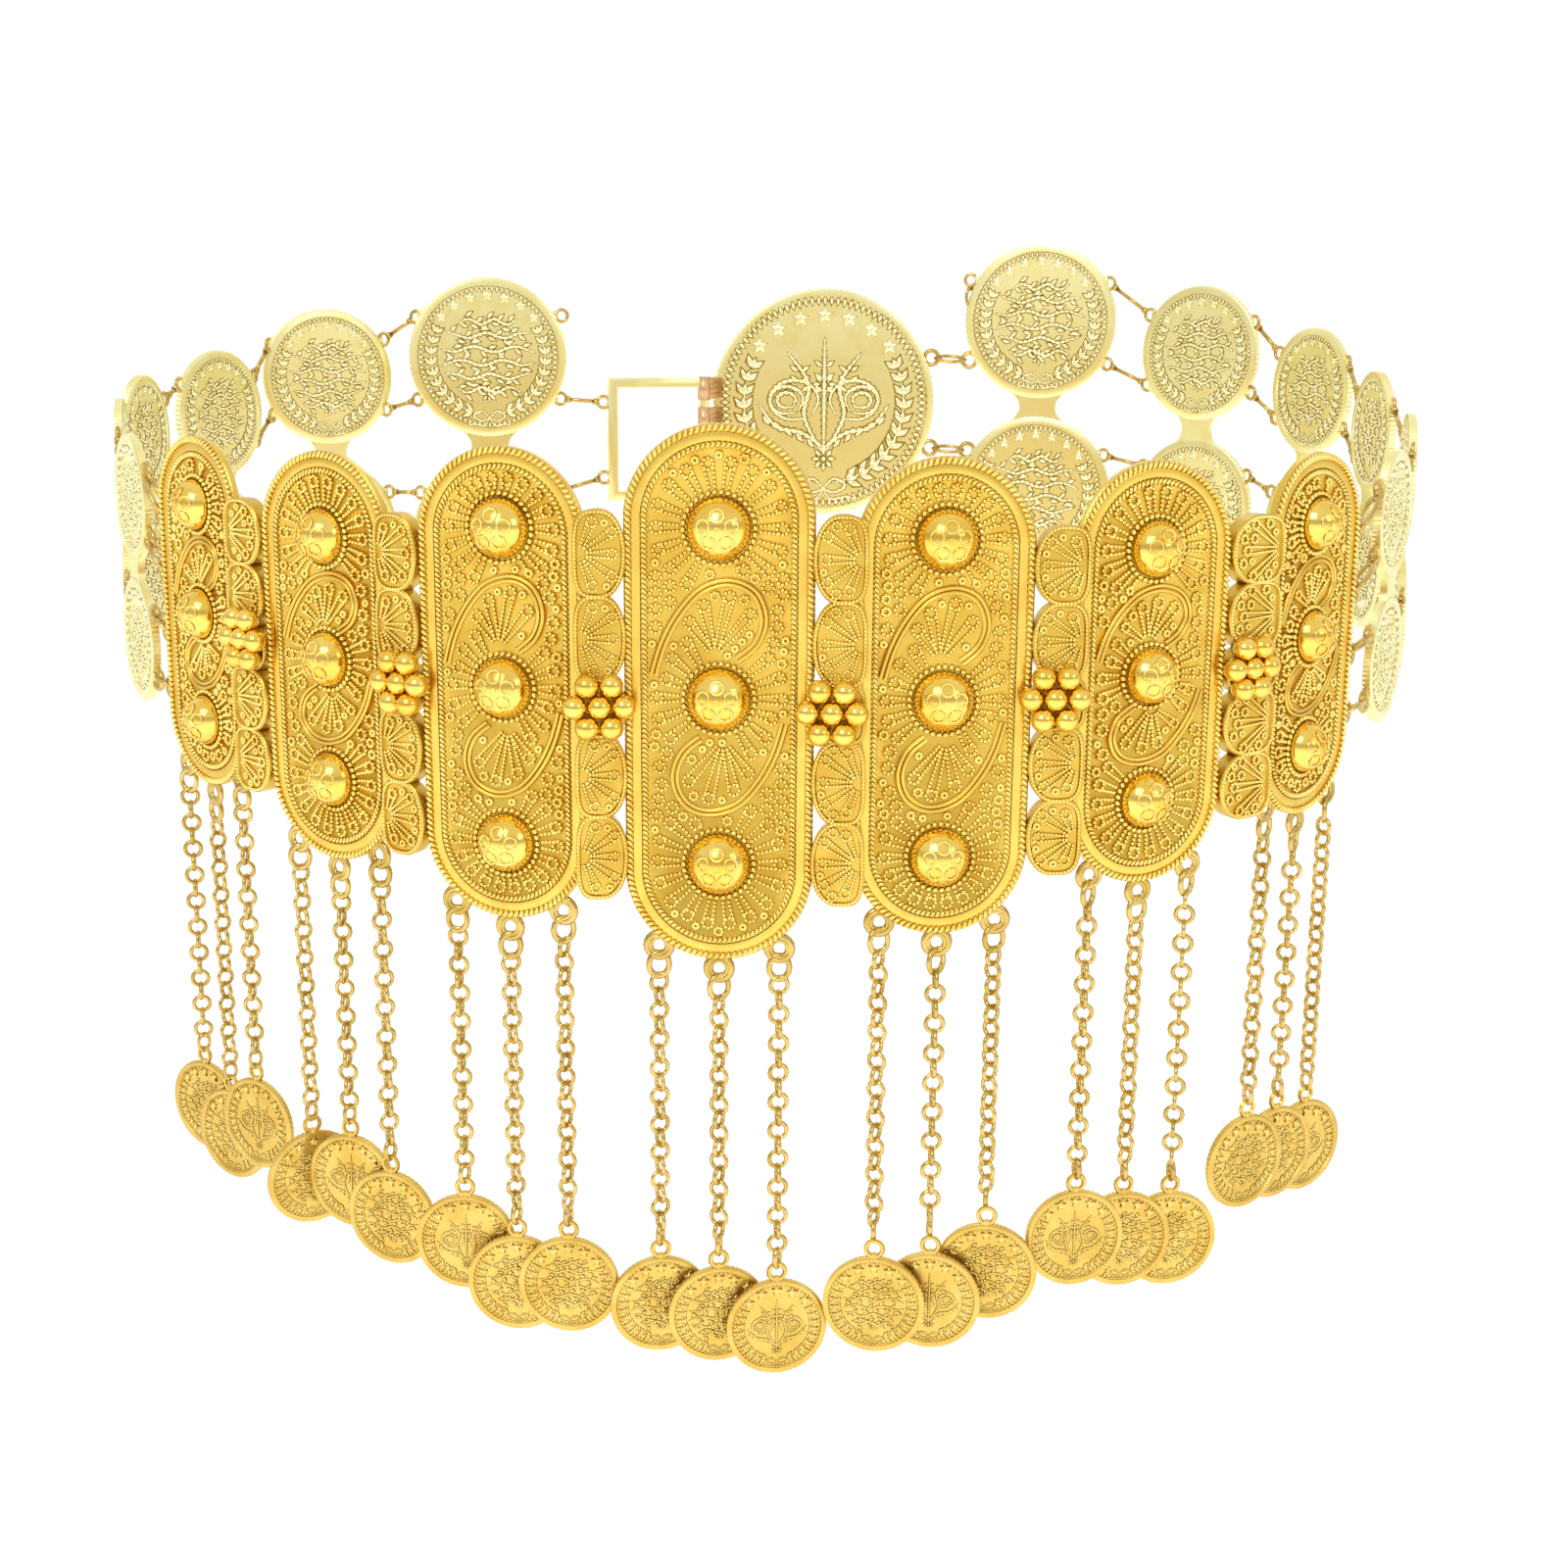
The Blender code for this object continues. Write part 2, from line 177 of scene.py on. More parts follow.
# The same places in plan as the solids stand on.
STATIONS = [
    Station("clasp_frame", Kind.FRAME, "", -30.0, 100.5, 7.0),
    Station("link_left_1", Kind.LINK, "first", -76.0, 90.0, 6.6),
    Station("link_left_2", Kind.LINK, "second", -119.0, 84.0, 7.5),
    Station("link_left_3", Kind.LINK, "third", -140.5, 52.0, 7.5),
    Station("link_left_4", Kind.LINK, "fourth", -150.0, 18.0, 3.5),
    Station("link_left_5", Kind.LINK, "fifth", -146.0, -13.0, 1.0),
    Station("link_left_6", Kind.LINK, "sixth", -135.0, -43.0, 0.5),
    Station("plate_left_3", Kind.PLATE, "outer", -113.0, -71.0, 1.0),
    Station("plate_left_2", Kind.PLATE, "middle", -82.0, -97.0, 1.2),
    Station("plate_left_1", Kind.PLATE, "inner", -46.0, -115.0),
    Station("plate_centre", Kind.PLATE, "centre", -6.0, -120.0),
    Station("plate_right_1", Kind.PLATE, "inner", 35.0, -120.0),
    Station("plate_right_2", Kind.PLATE, "middle", 74.0, -111.0, -1.8),
    Station("plate_right_3", Kind.PLATE, "outer", 109.0, -88.0, -1.8),
    Station("link_right_6", Kind.LINK, "sixth", 134.0, -54.0, -1.0),
    Station("link_right_5", Kind.LINK, "fifth", 145.5, -22.0),
    Station("link_right_4", Kind.LINK, "fourth", 148.0, 17.0),
    Station("link_right_3", Kind.LINK, "third", 141.5, 54.0),
    Station("link_right_2", Kind.LINK, "second", 118.5, 87.0),
    Station("link_right_1", Kind.LINK, "first", 77.5, 112.0),
    Station("clasp_disc", Kind.DISC, "", 16.5, 116.0),
]
# Rise of the ring for each length inward, and the sizes that solids and scene share.
RING_SLOPE = 0.177
PLATE_FRONT = -1.4 * MM
LUG_DROP = 2.0 * MM
SMALL_COIN = 20.0 * MM
DISC_WIDTH = 64.0 * MM
FRAME_WIDTH = 29.0 * MM
FRAME_HEIGHT = 34.0 * MM
FRAME_BAR = 2.8 * MM

# A connector's height as a share of its lower plate, its drop, and its lobes as shares of half its height.
STRIP_SHARE = 0.81
STRIP_DROP = 2.3 * MM
LOBE_MIDDLES = (-0.785, -0.355, 0.355, 0.785)
LOBE_HALF = 0.215
SEAT_HALF = 0.15

# Shift along the belt and lift of each rosette, in millimetres.
ROSETTES = {
    "connector_left_3": (1.0, 0.0),
    "connector_left_2": (1.3, -0.9),
    "connector_left_1": (-1.5, -1.6),
    "connector_centre": (0.0, -1.6),
    "connector_right_1": (0.0, -1.0),
    "connector_right_2": (-1.6, -1.5),
}
CENTRE_INDEX = 10


def place_of(index: int) -> Place:
    """The frame of a station on the belt.

    Args:
        index: The station's place in the row.

    Returns:
        A matrix whose X runs along the belt, whose Y points inward and whose Z is up.
    """
    count = len(STATIONS)
    before, here, after = (STATIONS[(index + k) % count] for k in (-1, 0, 1))
    heading = math.atan2(after.y - before.y, after.x - before.x)
    spot = Vector((here.x, here.y, RING_SLOPE * here.y - here.sag)) * MM
    return Matrix.Translation(spot) @ Matrix.Rotation(heading, 4, "Z")


def grown(x: float, y: float | None = None, z: float | None = None) -> Place:
    """A change of size.

    Args:
        x: Scale along X, and along the others where they aren't given.
        y: Scale along Y.
        z: Scale along Z.

    Returns:
        The matrix.
    """
    return Matrix.Diagonal((x, x if y is None else y, x if z is None else z, 1.0))


def seat(x: float, y: float, z: float, turn: float = 0.0, size: float = 1.0, long: float = 1.0,
         wide: float = 1.0) -> Place:
    """A place on a piece's front, for a shape that is modelled along X and stands towards -Y.

    Args:
        x: Sideways place.
        y: Depth, with the front at minus.
        z: Height.
        turn: Turn in the plane of the front, from +X towards +Z.
        size: Scale of the whole shape.
        long: Extra scale along the shape.
        wide: Extra scale across it.

    Returns:
        The matrix of the place.
    """
    return (Matrix.Translation((x, y, z)) @ Matrix.Rotation(-turn, 4, "Y")
            @ grown(size * long, size, size * wide))


class Value:
    """A shader socket that takes part in Python arithmetic."""

    def __init__(self, nodes: "Nodes", socket: Any) -> None:
        """Keep the node tree's builder and the socket."""
        self.nodes = nodes
        self.socket = socket

    def _math(self, operation: str, first: Any, second: Any) -> "Value":
        """Add one Math node and give its result."""
        return self.nodes.add("ShaderNodeMath", {"operation": operation}, {0: first, 1: second})

    def __add__(self, other: Any) -> "Value":
        """Sum."""
        return self._math("ADD", self, other)

    __radd__ = __add__

    def __mul__(self, other: Any) -> "Value":
        """Product."""
        return self._math("MULTIPLY", self, other)

    __rmul__ = __mul__

    def __sub__(self, other: Any) -> "Value":
        """Difference."""
        return self._math("SUBTRACT", self, other)

    def __rsub__(self, other: Any) -> "Value":
        """Difference from a number."""
        return self._math("SUBTRACT", other, self)


class Nodes:
    """Adds nodes to one material's tree."""

    def __init__(self, tree: Any) -> None:
        """Start from an empty tree."""
        self.tree = tree
        tree.nodes.clear()

    def add(self, kind: str, settings: dict[str, Any] | None = None, inputs: dict[Any, Any] | None = None,
            output: Any = 0) -> Value:
        """Add a node.

        Args:
            kind: The node's type.
            settings: Properties to set first; a ramp's stops go under "stops".
            inputs: Values or links by socket name or number.
            output: The output socket to give back.

        Returns:
            The wrapped output socket.
        """
        node = self.tree.nodes.new(kind)
        for key, setting in (settings or {}).items():
            if key == "stops":
                self._stops(node.color_ramp, setting)
            else:
                setattr(node, key, setting)
        for key, entry in (inputs or {}).items():
            if isinstance(entry, Value):
                self.tree.links.new(entry.socket, node.inputs[key])
            else:
                node.inputs[key].default_value = entry
        return Value(self, node.outputs[output] if len(node.outputs) else None)

    @staticmethod
    def _stops(ramp: Any, stops: Sequence[tuple[float, tuple[float, ...]]]) -> None:
        """Set a colour ramp's stops."""
        while len(ramp.elements) < len(stops):
            ramp.elements.new(1.0)
        for element, (position, colour) in zip(ramp.elements, stops):
            element.position = position
            element.color = colour

    def blend(self, factor: Any, first: Any, second: Any) -> Value:
        """Mix two colours.

        Args:
            factor: Share of the second colour.
            first: First colour or link.
            second: Second colour or link.

        Returns:
            The mixed colour.
        """
        return self.add("ShaderNodeMix", {"data_type": "RGBA"}, {0: factor, 6: first, 7: second}, 2)


Colour = tuple[float, float, float, float]


@dataclass(frozen=True)
class Gilt:
    """A gold-plated finish: a bright tone that clouds into a deeper one, finely hammered."""

    name: str
    bright: Colour
    deep: Colour
    polish: float
    cloud_scale: float = 180.0
    grain_scale: float = 2600.0
    grain: float = 0.12
    grain_depth: float = 0.00004

    def material(self) -> bpy.types.Material:
        """Build the finish.

        Returns:
            The material, made once and then shared.
        """
        made = bpy.data.materials.get(self.name)
        if made:
            return made
        mat = bpy.data.materials.new(self.name)
        mat.use_nodes = True
        nodes = Nodes(mat.node_tree)
        where = nodes.add("ShaderNodeTexCoord", output="Object")
        cloud = nodes.add("ShaderNodeTexNoise", inputs={
            "Vector": where, "Scale": self.cloud_scale, "Detail": 3.0})
        grain = nodes.add("ShaderNodeTexNoise", inputs={
            "Vector": where, "Scale": self.grain_scale, "Detail": 2.0})
        shade = nodes.add("ShaderNodeMapRange", {"interpolation_type": "SMOOTHSTEP"},
                          {"Value": cloud, "From Min": 0.32, "From Max": 0.72})
        colour = nodes.blend(shade, self.bright, self.deep)
        rough = self.polish + grain * self.grain + shade * 0.05
        bump = nodes.add("ShaderNodeBump", inputs={
            "Height": grain, "Distance": self.grain_depth, "Strength": 0.6})
        shader = nodes.add("ShaderNodeBsdfPrincipled", inputs={
            "Base Color": colour, "Roughness": rough, "Metallic": 1.0, "Normal": bump})
        nodes.add("ShaderNodeOutputMaterial", inputs={"Surface": shader})
        return mat


class Finish(Enum):
    """The finishes of the belt."""

    # GROUND and RAISED are one stamped gold in two tones: the sunk ground and the strips are painted darker
    # as painted shade in the recesses, and the raised wire, ropes and beading paler as painted highlight.
    GROUND = Gilt("gilt_ground", (0.67, 0.45, 0.078, 1.0), (0.59, 0.37, 0.05, 1.0), 0.26)
    BAND = Gilt("gilt_band", (0.79, 0.55, 0.11, 1.0), (0.74, 0.48, 0.085, 1.0), 0.22)
    RAISED = Gilt("gilt_raised", (0.93, 0.75, 0.25, 1.0), (0.86, 0.61, 0.14, 1.0), 0.19)
    POLISHED = Gilt("gilt_polished", (0.90, 0.65, 0.15, 1.0), (0.82, 0.53, 0.08, 1.0), 0.08, grain=0.04,
                    grain_depth=0.00001)
    CHAIN = Gilt("gilt_chain", (0.66, 0.47, 0.15, 1.0), (0.50, 0.33, 0.07, 1.0), 0.14)
    # SMALL_RELIEF and PALE_RELIEF are their coins' gold painted paler and brighter: painted highlight on the
    # struck relief.
    SMALL_COIN = Gilt("gilt_small_coin", (0.70, 0.49, 0.125, 1.0), (0.62, 0.40, 0.08, 1.0), 0.27)
    SMALL_RELIEF = Gilt("gilt_small_relief", (0.83, 0.63, 0.20, 1.0), (0.76, 0.53, 0.13, 1.0), 0.22)
    PALE = Gilt("gilt_pale_coin", (0.94, 0.87, 0.45, 1.0), (0.88, 0.78, 0.335, 1.0), 0.24)
    PALE_RELIEF = Gilt("gilt_pale_relief", (0.99, 0.94, 0.60, 1.0), (0.95, 0.87, 0.48, 1.0), 0.15)
    # Dark pads laid under the coins' relief lines: painted shade that outlines them, not a cut groove.
    GROOVE = Gilt("gilt_groove", (0.52, 0.37, 0.09, 1.0), (0.40, 0.27, 0.055, 1.0), 0.34)
    COPPER = Gilt("copper_tab", (0.77, 0.50, 0.28, 1.0), (0.68, 0.39, 0.19, 1.0), 0.30)


@dataclass(frozen=True)
class Shape:
    """A mesh kept as arrays, to be repeated."""

    points: np.ndarray
    faces: tuple[tuple[int, ...], ...]

    @classmethod
    def take(cls, obj: bpy.types.Object) -> "Shape":
        """Turn an object into a shape and remove the object."""
        mesh = obj.data
        points = np.array([tuple(obj.matrix_world @ v.co) for v in mesh.vertices])
        faces = tuple(tuple(p.vertices) for p in mesh.polygons)
        bpy.data.objects.remove(obj, do_unlink=True)
        return cls(points, faces)


@dataclass
class Assembly:
    """Collects placed shapes and makes one mesh of them."""

    name: str
    parts: list[tuple[Shape, Place]] = field(default_factory=list)

    def put(self, shape: Shape, place: Place) -> None:
        """Add a copy of a shape."""
        self.parts.append((shape, place))

    def build(self, place: Place, finish: Finish, smooth: bool = True) -> bpy.types.Object:
        """Make the mesh, in its place on the belt.

        Args:
            place: The station's frame.
            finish: The finish of all the copies.
            smooth: Whether faces are shaded round.

        Returns:
            The finished object, which rides on the belt.
        """
        points, loops, sizes = [], [], []
        start = 0
        for shape, spot in self.parts:
            whole = np.array(place @ spot)
            points.append(shape.points @ whole[:3, :3].T + whole[:3, 3])
            for face in shape.faces:
                loops.extend(i + start for i in face)
                sizes.append(len(face))
            start += len(shape.points)
        mesh = bpy.data.meshes.new(self.name)
        mesh.vertices.add(start)
        mesh.vertices.foreach_set("co", np.concatenate(points).ravel())
        mesh.loops.add(len(loops))
        mesh.loops.foreach_set("vertex_index", loops)
        mesh.polygons.add(len(sizes))
        mesh.polygons.foreach_set("loop_start", np.concatenate([[0], np.cumsum(sizes)[:-1]]).astype(np.int32))
        mesh.polygons.foreach_set("use_smooth", [smooth] * len(sizes))
        mesh.update(calc_edges=True)
        mesh.validate()
        obj = bpy.data.objects.new(self.name, mesh)
        bpy.context.scene.collection.objects.link(obj)
        return dress(obj, finish)


def dress(obj: bpy.types.Object, finish: Finish) -> bpy.types.Object:
    """Give a piece its finish and fix it to the belt.

    Args:
        obj: The piece.
        finish: Its finish.

    Returns:
        The same piece.
    """
    obj.data.materials.clear()
    obj.data.materials.append(finish.value.material())
    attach(obj, BODY)
    LOG.info("%s: %d faces, %s", obj.name, len(obj.data.polygons), finish.value.name)
    return obj


def select_only(obj: bpy.types.Object) -> None:
    """Make one object the only selected and active one."""
    bpy.ops.object.select_all(action="DESELECT")
    obj.select_set(True)
    bpy.context.view_layer.objects.active = obj


def added(name: str) -> bpy.types.Object:
    """Name the primitive that was just added, with its turn and size put into its mesh."""
    obj = bpy.context.object
    obj.name = name
    select_only(obj)
    bpy.ops.object.transform_apply(location=True, rotation=True, scale=True)
    return obj


def pick_faces(obj: bpy.types.Object, test: Callable[[Any], bool]) -> None:
    """Select the faces that pass a test, leaving the object in edit mode."""
    select_only(obj)
    bpy.ops.object.mode_set(mode="EDIT")
    bpy.ops.mesh.select_mode(type="FACE")
    bpy.ops.mesh.select_all(action="DESELECT")
    bpy.ops.object.mode_set(mode="OBJECT")
    for face in obj.data.polygons:
        face.select = test(face)
    bpy.ops.object.mode_set(mode="EDIT")


def faces_front(face: Any) -> bool:
    """Whether a face looks to the front."""
    return face.normal.y < -0.9


def faces_back(face: Any) -> bool:
    """Whether a face looks inward."""
    return face.normal.y > 0.9


def step_in(obj: bpy.types.Object, test: Callable[[Any], bool], steps: Iterable[tuple[float, float]]) -> None:
    """Inset the faces that pass a test, step by step.

    Args:
        obj: The blank.
        test: Picks the face to work on.
        steps: Width inward and rise of each step, in millimetres.
    """
    pick_faces(obj, test)
    for width, rise in steps:
        bpy.ops.mesh.inset(thickness=width * MM, depth=rise * MM)
    bpy.ops.object.mode_set(mode="OBJECT")


def rounded(obj: bpy.types.Object, angle: float = 32.0) -> bpy.types.Object:
    """Shade a blank smooth, with its steps kept sharp."""
    select_only(obj)
    bpy.ops.object.shade_smooth_by_angle(angle=math.radians(angle))
    return obj


def granule_shape(sides: int = 6, rings: int = 4, rise: float = 1.0) -> Shape:
    """A half ball of radius one that stands towards -Y.

    Args:
        sides: Faces round it.
        rings: Rings of the whole ball.
        rise: Height against its radius.

    Returns:
        The shape.
    """
    bpy.ops.object.select_all(action="DESELECT")
    bpy.ops.mesh.primitive_uv_sphere_add(segments=sides, ring_count=rings, radius=1.0,
                                         rotation=(math.pi / 2, 0, 0))
    ball = added("granule")
    pick_faces(ball, lambda face: face.center.y > 0.01)
    bpy.ops.mesh.delete(type="FACE")
    bpy.ops.mesh.select_all(action="SELECT")
    bpy.ops.mesh.fill_holes(sides=0)
    bpy.ops.mesh.normals_make_consistent(inside=False)
    bpy.ops.object.mode_set(mode="OBJECT")
    shape = Shape.take(ball)
    return Shape(shape.points * np.array([1.0, rise, 1.0]), shape.faces)


def pearl_shape() -> Shape:
    """A full ball of radius one."""
    bpy.ops.object.select_all(action="DESELECT")
    bpy.ops.mesh.primitive_uv_sphere_add(segments=20, ring_count=12, radius=1.0, rotation=(math.pi / 2, 0, 0))
    return Shape.take(added("pearl"))


def ring_shape(major: float, minor: float, around: int = 12, across: int = 5) -> Shape:
    """A round wire ring that faces the front.

    Args:
        major: Radius to the middle of the wire.
        minor: Radius of the wire.
        around: Faces round the ring.
        across: Faces round the wire.

    Returns:
        The shape.
    """
    bpy.ops.object.select_all(action="DESELECT")
    bpy.ops.mesh.primitive_torus_add(major_radius=major, minor_radius=minor, major_segments=around,
                                     minor_segments=across, rotation=(math.pi / 2, 0, 0))
    return Shape.take(added("ring"))


def rod_shape(sides: int = 8) -> Shape:
    """An upright round rod of unit radius and unit length, from the origin along Z."""
    bpy.ops.object.select_all(action="DESELECT")
    bpy.ops.mesh.primitive_cylinder_add(vertices=sides, radius=1.0, depth=1.0, location=(0, 0, 0.5))
    return Shape.take(added("rod"))


def between(start: Vector, end: Vector, width: float) -> Place:
    """The place of a unit rod that runs between two points."""
    run = end - start
    turn = run.to_track_quat("Z", "Y").to_matrix().to_4x4()
    return Matrix.Translation(start) @ turn @ Matrix.Diagonal((width / 2, width / 2, run.length, 1.0))


def wire_shape(points: Sequence[Point], radius: float, across: int = 3) -> Shape:
    """A smooth bent wire through points.

    Args:
        points: The wire's middle line.
        radius: The wire's radius.
        across: Bevel steps of its section.

    Returns:
        The shape.
    """
    curve = bpy.data.curves.new("wire", "CURVE")
    curve.dimensions = "3D"
    curve.bevel_depth = radius
    curve.bevel_resolution = across - 1
    curve.use_fill_caps = True
    spline = curve.splines.new("POLY")
    spline.points.add(len(points) - 1)
    for point, spot in zip(spline.points, points):
        point.co = (*spot, 1.0)
    obj = bpy.data.objects.new("wire", curve)
    bpy.context.scene.collection.objects.link(obj)
    select_only(obj)
    bpy.ops.object.convert(target="MESH")
    return Shape.take(bpy.context.object)


def star_shape() -> Shape:
    """A low five-pointed star of radius one that stands towards -Y."""
    bpy.ops.object.select_all(action="DESELECT")
    bpy.ops.mesh.primitive_cylinder_add(vertices=10, radius=1.0, depth=0.5, rotation=(math.pi / 2, 0, 0))
    star = added("star")
    for vertex in star.data.vertices:
        share = 1.0 if math.cos(5 * (math.atan2(vertex.co.z, vertex.co.x) - math.pi / 2)) > 0 else 0.42
        vertex.co.x *= share
        vertex.co.z *= share
    pick_faces(star, faces_front)
    bpy.ops.mesh.inset(thickness=0.12, depth=0.12)
    bpy.ops.object.mode_set(mode="OBJECT")
    return Shape.take(star)


@dataclass(frozen=True)
class Kit:
    """The small shapes that the whole belt is decorated with."""

    granule: Shape
    ball: Shape
    pearl: Shape
    cord: Shape
    leaf: Shape
    pad: Shape
    rod: Shape
    link: Shape
    eye: Shape
    circle: Shape
    lug: Shape
    star: Shape

    @classmethod
    def make(cls) -> "Kit":
        """Model each small shape once."""
        return cls(
            granule=granule_shape(6, 4, 1.6),
            ball=granule_shape(24, 14, 1.0),
            pearl=pearl_shape(),
            cord=granule_shape(8, 4, 0.9),
            leaf=granule_shape(4, 4, 0.9),
            pad=granule_shape(4, 4, 0.2),
            rod=rod_shape(),
            link=ring_shape(1.68 * MM, 0.46 * MM, 14, 6),
            eye=ring_shape(1.62 * MM, 0.5 * MM, 14, 6),
            circle=ring_shape(1.0, 0.2, 16, 5),
            lug=ring_shape(2.3 * MM, 0.75 * MM, 18, 6),
            star=star_shape(),
        )


Flat = tuple[float, float]


def stadium(width: float, height: float, inset: float) -> list[Flat]:
    """The points of an upright outline with half-round ends.

    Args:
        width: Full width.
        height: Full height.
        inset: Distance in from the edge.

    Returns:
        The outline's points.
    """
    r, straight = width / 2 - inset, (height - width) / 2
    turns = [2 * math.pi * (i + 0.5) / 96 for i in range(96)]
    return [(r * math.cos(a), r * math.sin(a) + math.copysign(straight, math.sin(a))) for a in turns]


def even_steps(outline: Sequence[Flat], pitch: float) -> list[tuple[float, float, float]]:
    """Walk a closed outline in even steps.

    Args:
        outline: The outline's points.
        pitch: Wanted step.

    Returns:
        Rows of x, z and heading.
    """
    loop = np.array([*outline, outline[0]])
    far = np.concatenate([[0.0], np.cumsum(np.hypot(*np.diff(loop, axis=0).T))])
    count = round(far[-1] / pitch)
    at = np.arange(count) * far[-1] / count
    x, z = np.interp(at, far, loop[:, 0]), np.interp(at, far, loop[:, 1])
    heading = np.arctan2(np.roll(z, -1) - z, np.roll(x, -1) - x)
    return list(zip(x, z, heading))


def smooth_line(knots: Sequence[Flat], steps: int = 6) -> list[Flat]:
    """Round a line through its knots.

    Args:
        knots: The knots.
        steps: Points from one knot to the next.

    Returns:
        The line's points.
    """
    p = np.array([knots[0], *knots, knots[-1]])
    line = []
    for a, b, c, d in zip(p[:-3], p[1:-2], p[2:-1], p[3:]):
        for t in np.arange(steps) / steps:
            line.append(tuple(b + t * (c - a) / 2 + t * t * (a - 2.5 * b + 2 * c - d / 2)
                              + t ** 3 * (1.5 * (b - c) + (d - a) / 2)))
    return [*line, tuple(p[-1])]


@dataclass
class Filigree:
    """Twisted wire bent into rays and curls and laid on a flat field with half-round ends."""

    kit: Kit
    name: str
    y: float
    half: float
    straight: float
    middle: float = 0.0
    bead: float = 0.5 * MM
    taken: list[tuple[float, float, float]] = field(default_factory=list)
    art: Assembly = field(init=False)

    def __post_init__(self) -> None:
        """Start with nothing laid."""
        self.art = Assembly(self.name)

    def lay(self, x: float, z: float, heading: float) -> None:
        """Lay one turn of the twisted wire."""
        self.art.put(self.kit.granule, seat(x, self.y, z, heading + 0.6, self.bead, 1.08, 0.84))

    def clear(self, x: Any, z: Any, radius: float) -> Any:
        """Whether spots lie in the field and off what is laid.

        Args:
            x: Sideways places, a number or an array.
            z: Heights, a number or an array.
            radius: Room that is needed round each.

        Returns:
            A truth value or an array of them.
        """
        room = np.hypot(x, np.maximum(np.abs(z - self.middle) - self.straight, 0.0)) < self.half - radius
        for a, b, c in self.taken:
            room = room & (np.hypot(x - a, z - b) > radius + c)
        return room

    def line(self, start: Flat, end: Flat) -> None:
        """Lay a straight wire and mark its place as taken."""
        run = np.subtract(end, start)
        count = max(1, round(float(np.hypot(*run)) / (1.5 * self.bead)))
        for k in (np.arange(count) + 0.5) / count:
            x, z = np.array(start) + run * k
            self.lay(x, z, math.atan2(run[1], run[0]))
            self.taken.append((x, z, self.bead * 0.8))

    def curl(self, x: float, z: float, radius: float) -> None:
        """Lay one small ring of wire and mark its place as taken."""
        count = max(7, round(2 * math.pi * radius / (1.5 * self.bead)))
        for i in range(count):
            a = 2 * math.pi * i / count
            self.lay(x + radius * math.cos(a), z + radius * math.sin(a), a + math.pi / 2)
        self.taken.append((x, z, radius + self.bead * 0.85))

    def fan(self, x: float, z: float, span: tuple[float, float], angles: Iterable[float], loop: float,
            foot: float = 0.0) -> None:
        """Lay rays that end in curls; a ray without room is shortened or left out.

        Args:
            x: Sideways place of the middle.
            z: Height of the middle.
            span: Radius where a ray starts and radius of its curl's middle.
            angles: Direction of each ray.
            loop: Radius of the curls.
            foot: Half the width of a petal's foot; with none, each ray is a single wire.
        """
        start, reach = span
        middle = np.array((x, z))
        for a in angles:
            way = np.array((math.cos(a), math.sin(a)))
            side = np.array((-way[1], way[0]))
            for far in np.arange(reach, start + loop, -0.3 * MM):
                tip = middle + way * far
                if not self.clear(*tip, loop + self.bead):
                    continue
                for hand in (1, -1) if foot else (0,):
                    top = tip - way * loop * (0.5 if foot else 1.0) + side * hand * loop * 0.86
                    self.line(tuple(middle + way * start + side * hand * foot), tuple(top))
                self.curl(*tip, loop)
                break

    def fill(self, middles: Sequence[Flat], loops: Iterable[float]) -> None:
        """Pack curls into what is left, from the given middles outward.

        Args:
            middles: Where the packing starts.
            loops: Radii of the curls, the large ones first.
        """
        step = 0.33 * MM
        tall = self.straight + self.half
        spots = np.array(np.meshgrid(np.arange(-self.half, self.half, step),
                                     np.arange(self.middle - tall, self.middle + tall, step))).reshape(2, -1)
        near = np.min([np.hypot(spots[0] - a, spots[1] - b) for a, b in middles], axis=0)
        spots = spots[:, np.argsort(near, kind="stable")]
        for loop in loops:
            reach = loop + self.bead * 0.85
            room = self.clear(spots[0], spots[1], reach)
            while room.any():
                x, z = spots[:, np.argmax(room)]
                self.curl(x, z, loop)
                room &= np.hypot(spots[0] - x, spots[1] - z) > 2 * reach


def stadium_blank(name: str, width: float, height: float, depth: float, front: float) -> bpy.types.Object:
    """A flat upright blank with half-round ends.

    Args:
        name: The blank's name.
        width: Full width.
        height: Full height.
        depth: Thickness.
        front: Depth of its front face.

    Returns:
        The blank.
    """
    bpy.ops.object.select_all(action="DESELECT")
    bpy.ops.mesh.primitive_cylinder_add(vertices=72, radius=width / 2, depth=depth,
                                        rotation=(math.pi / 2, 0, 0), location=(0, front + depth / 2, 0))
    blank = added(name)
    shift = (height - width) / 2
    for vertex in blank.data.vertices:
        vertex.co.z += shift * (vertex.co.z > 1e-6) - shift * (vertex.co.z < -1e-6)
    return blank


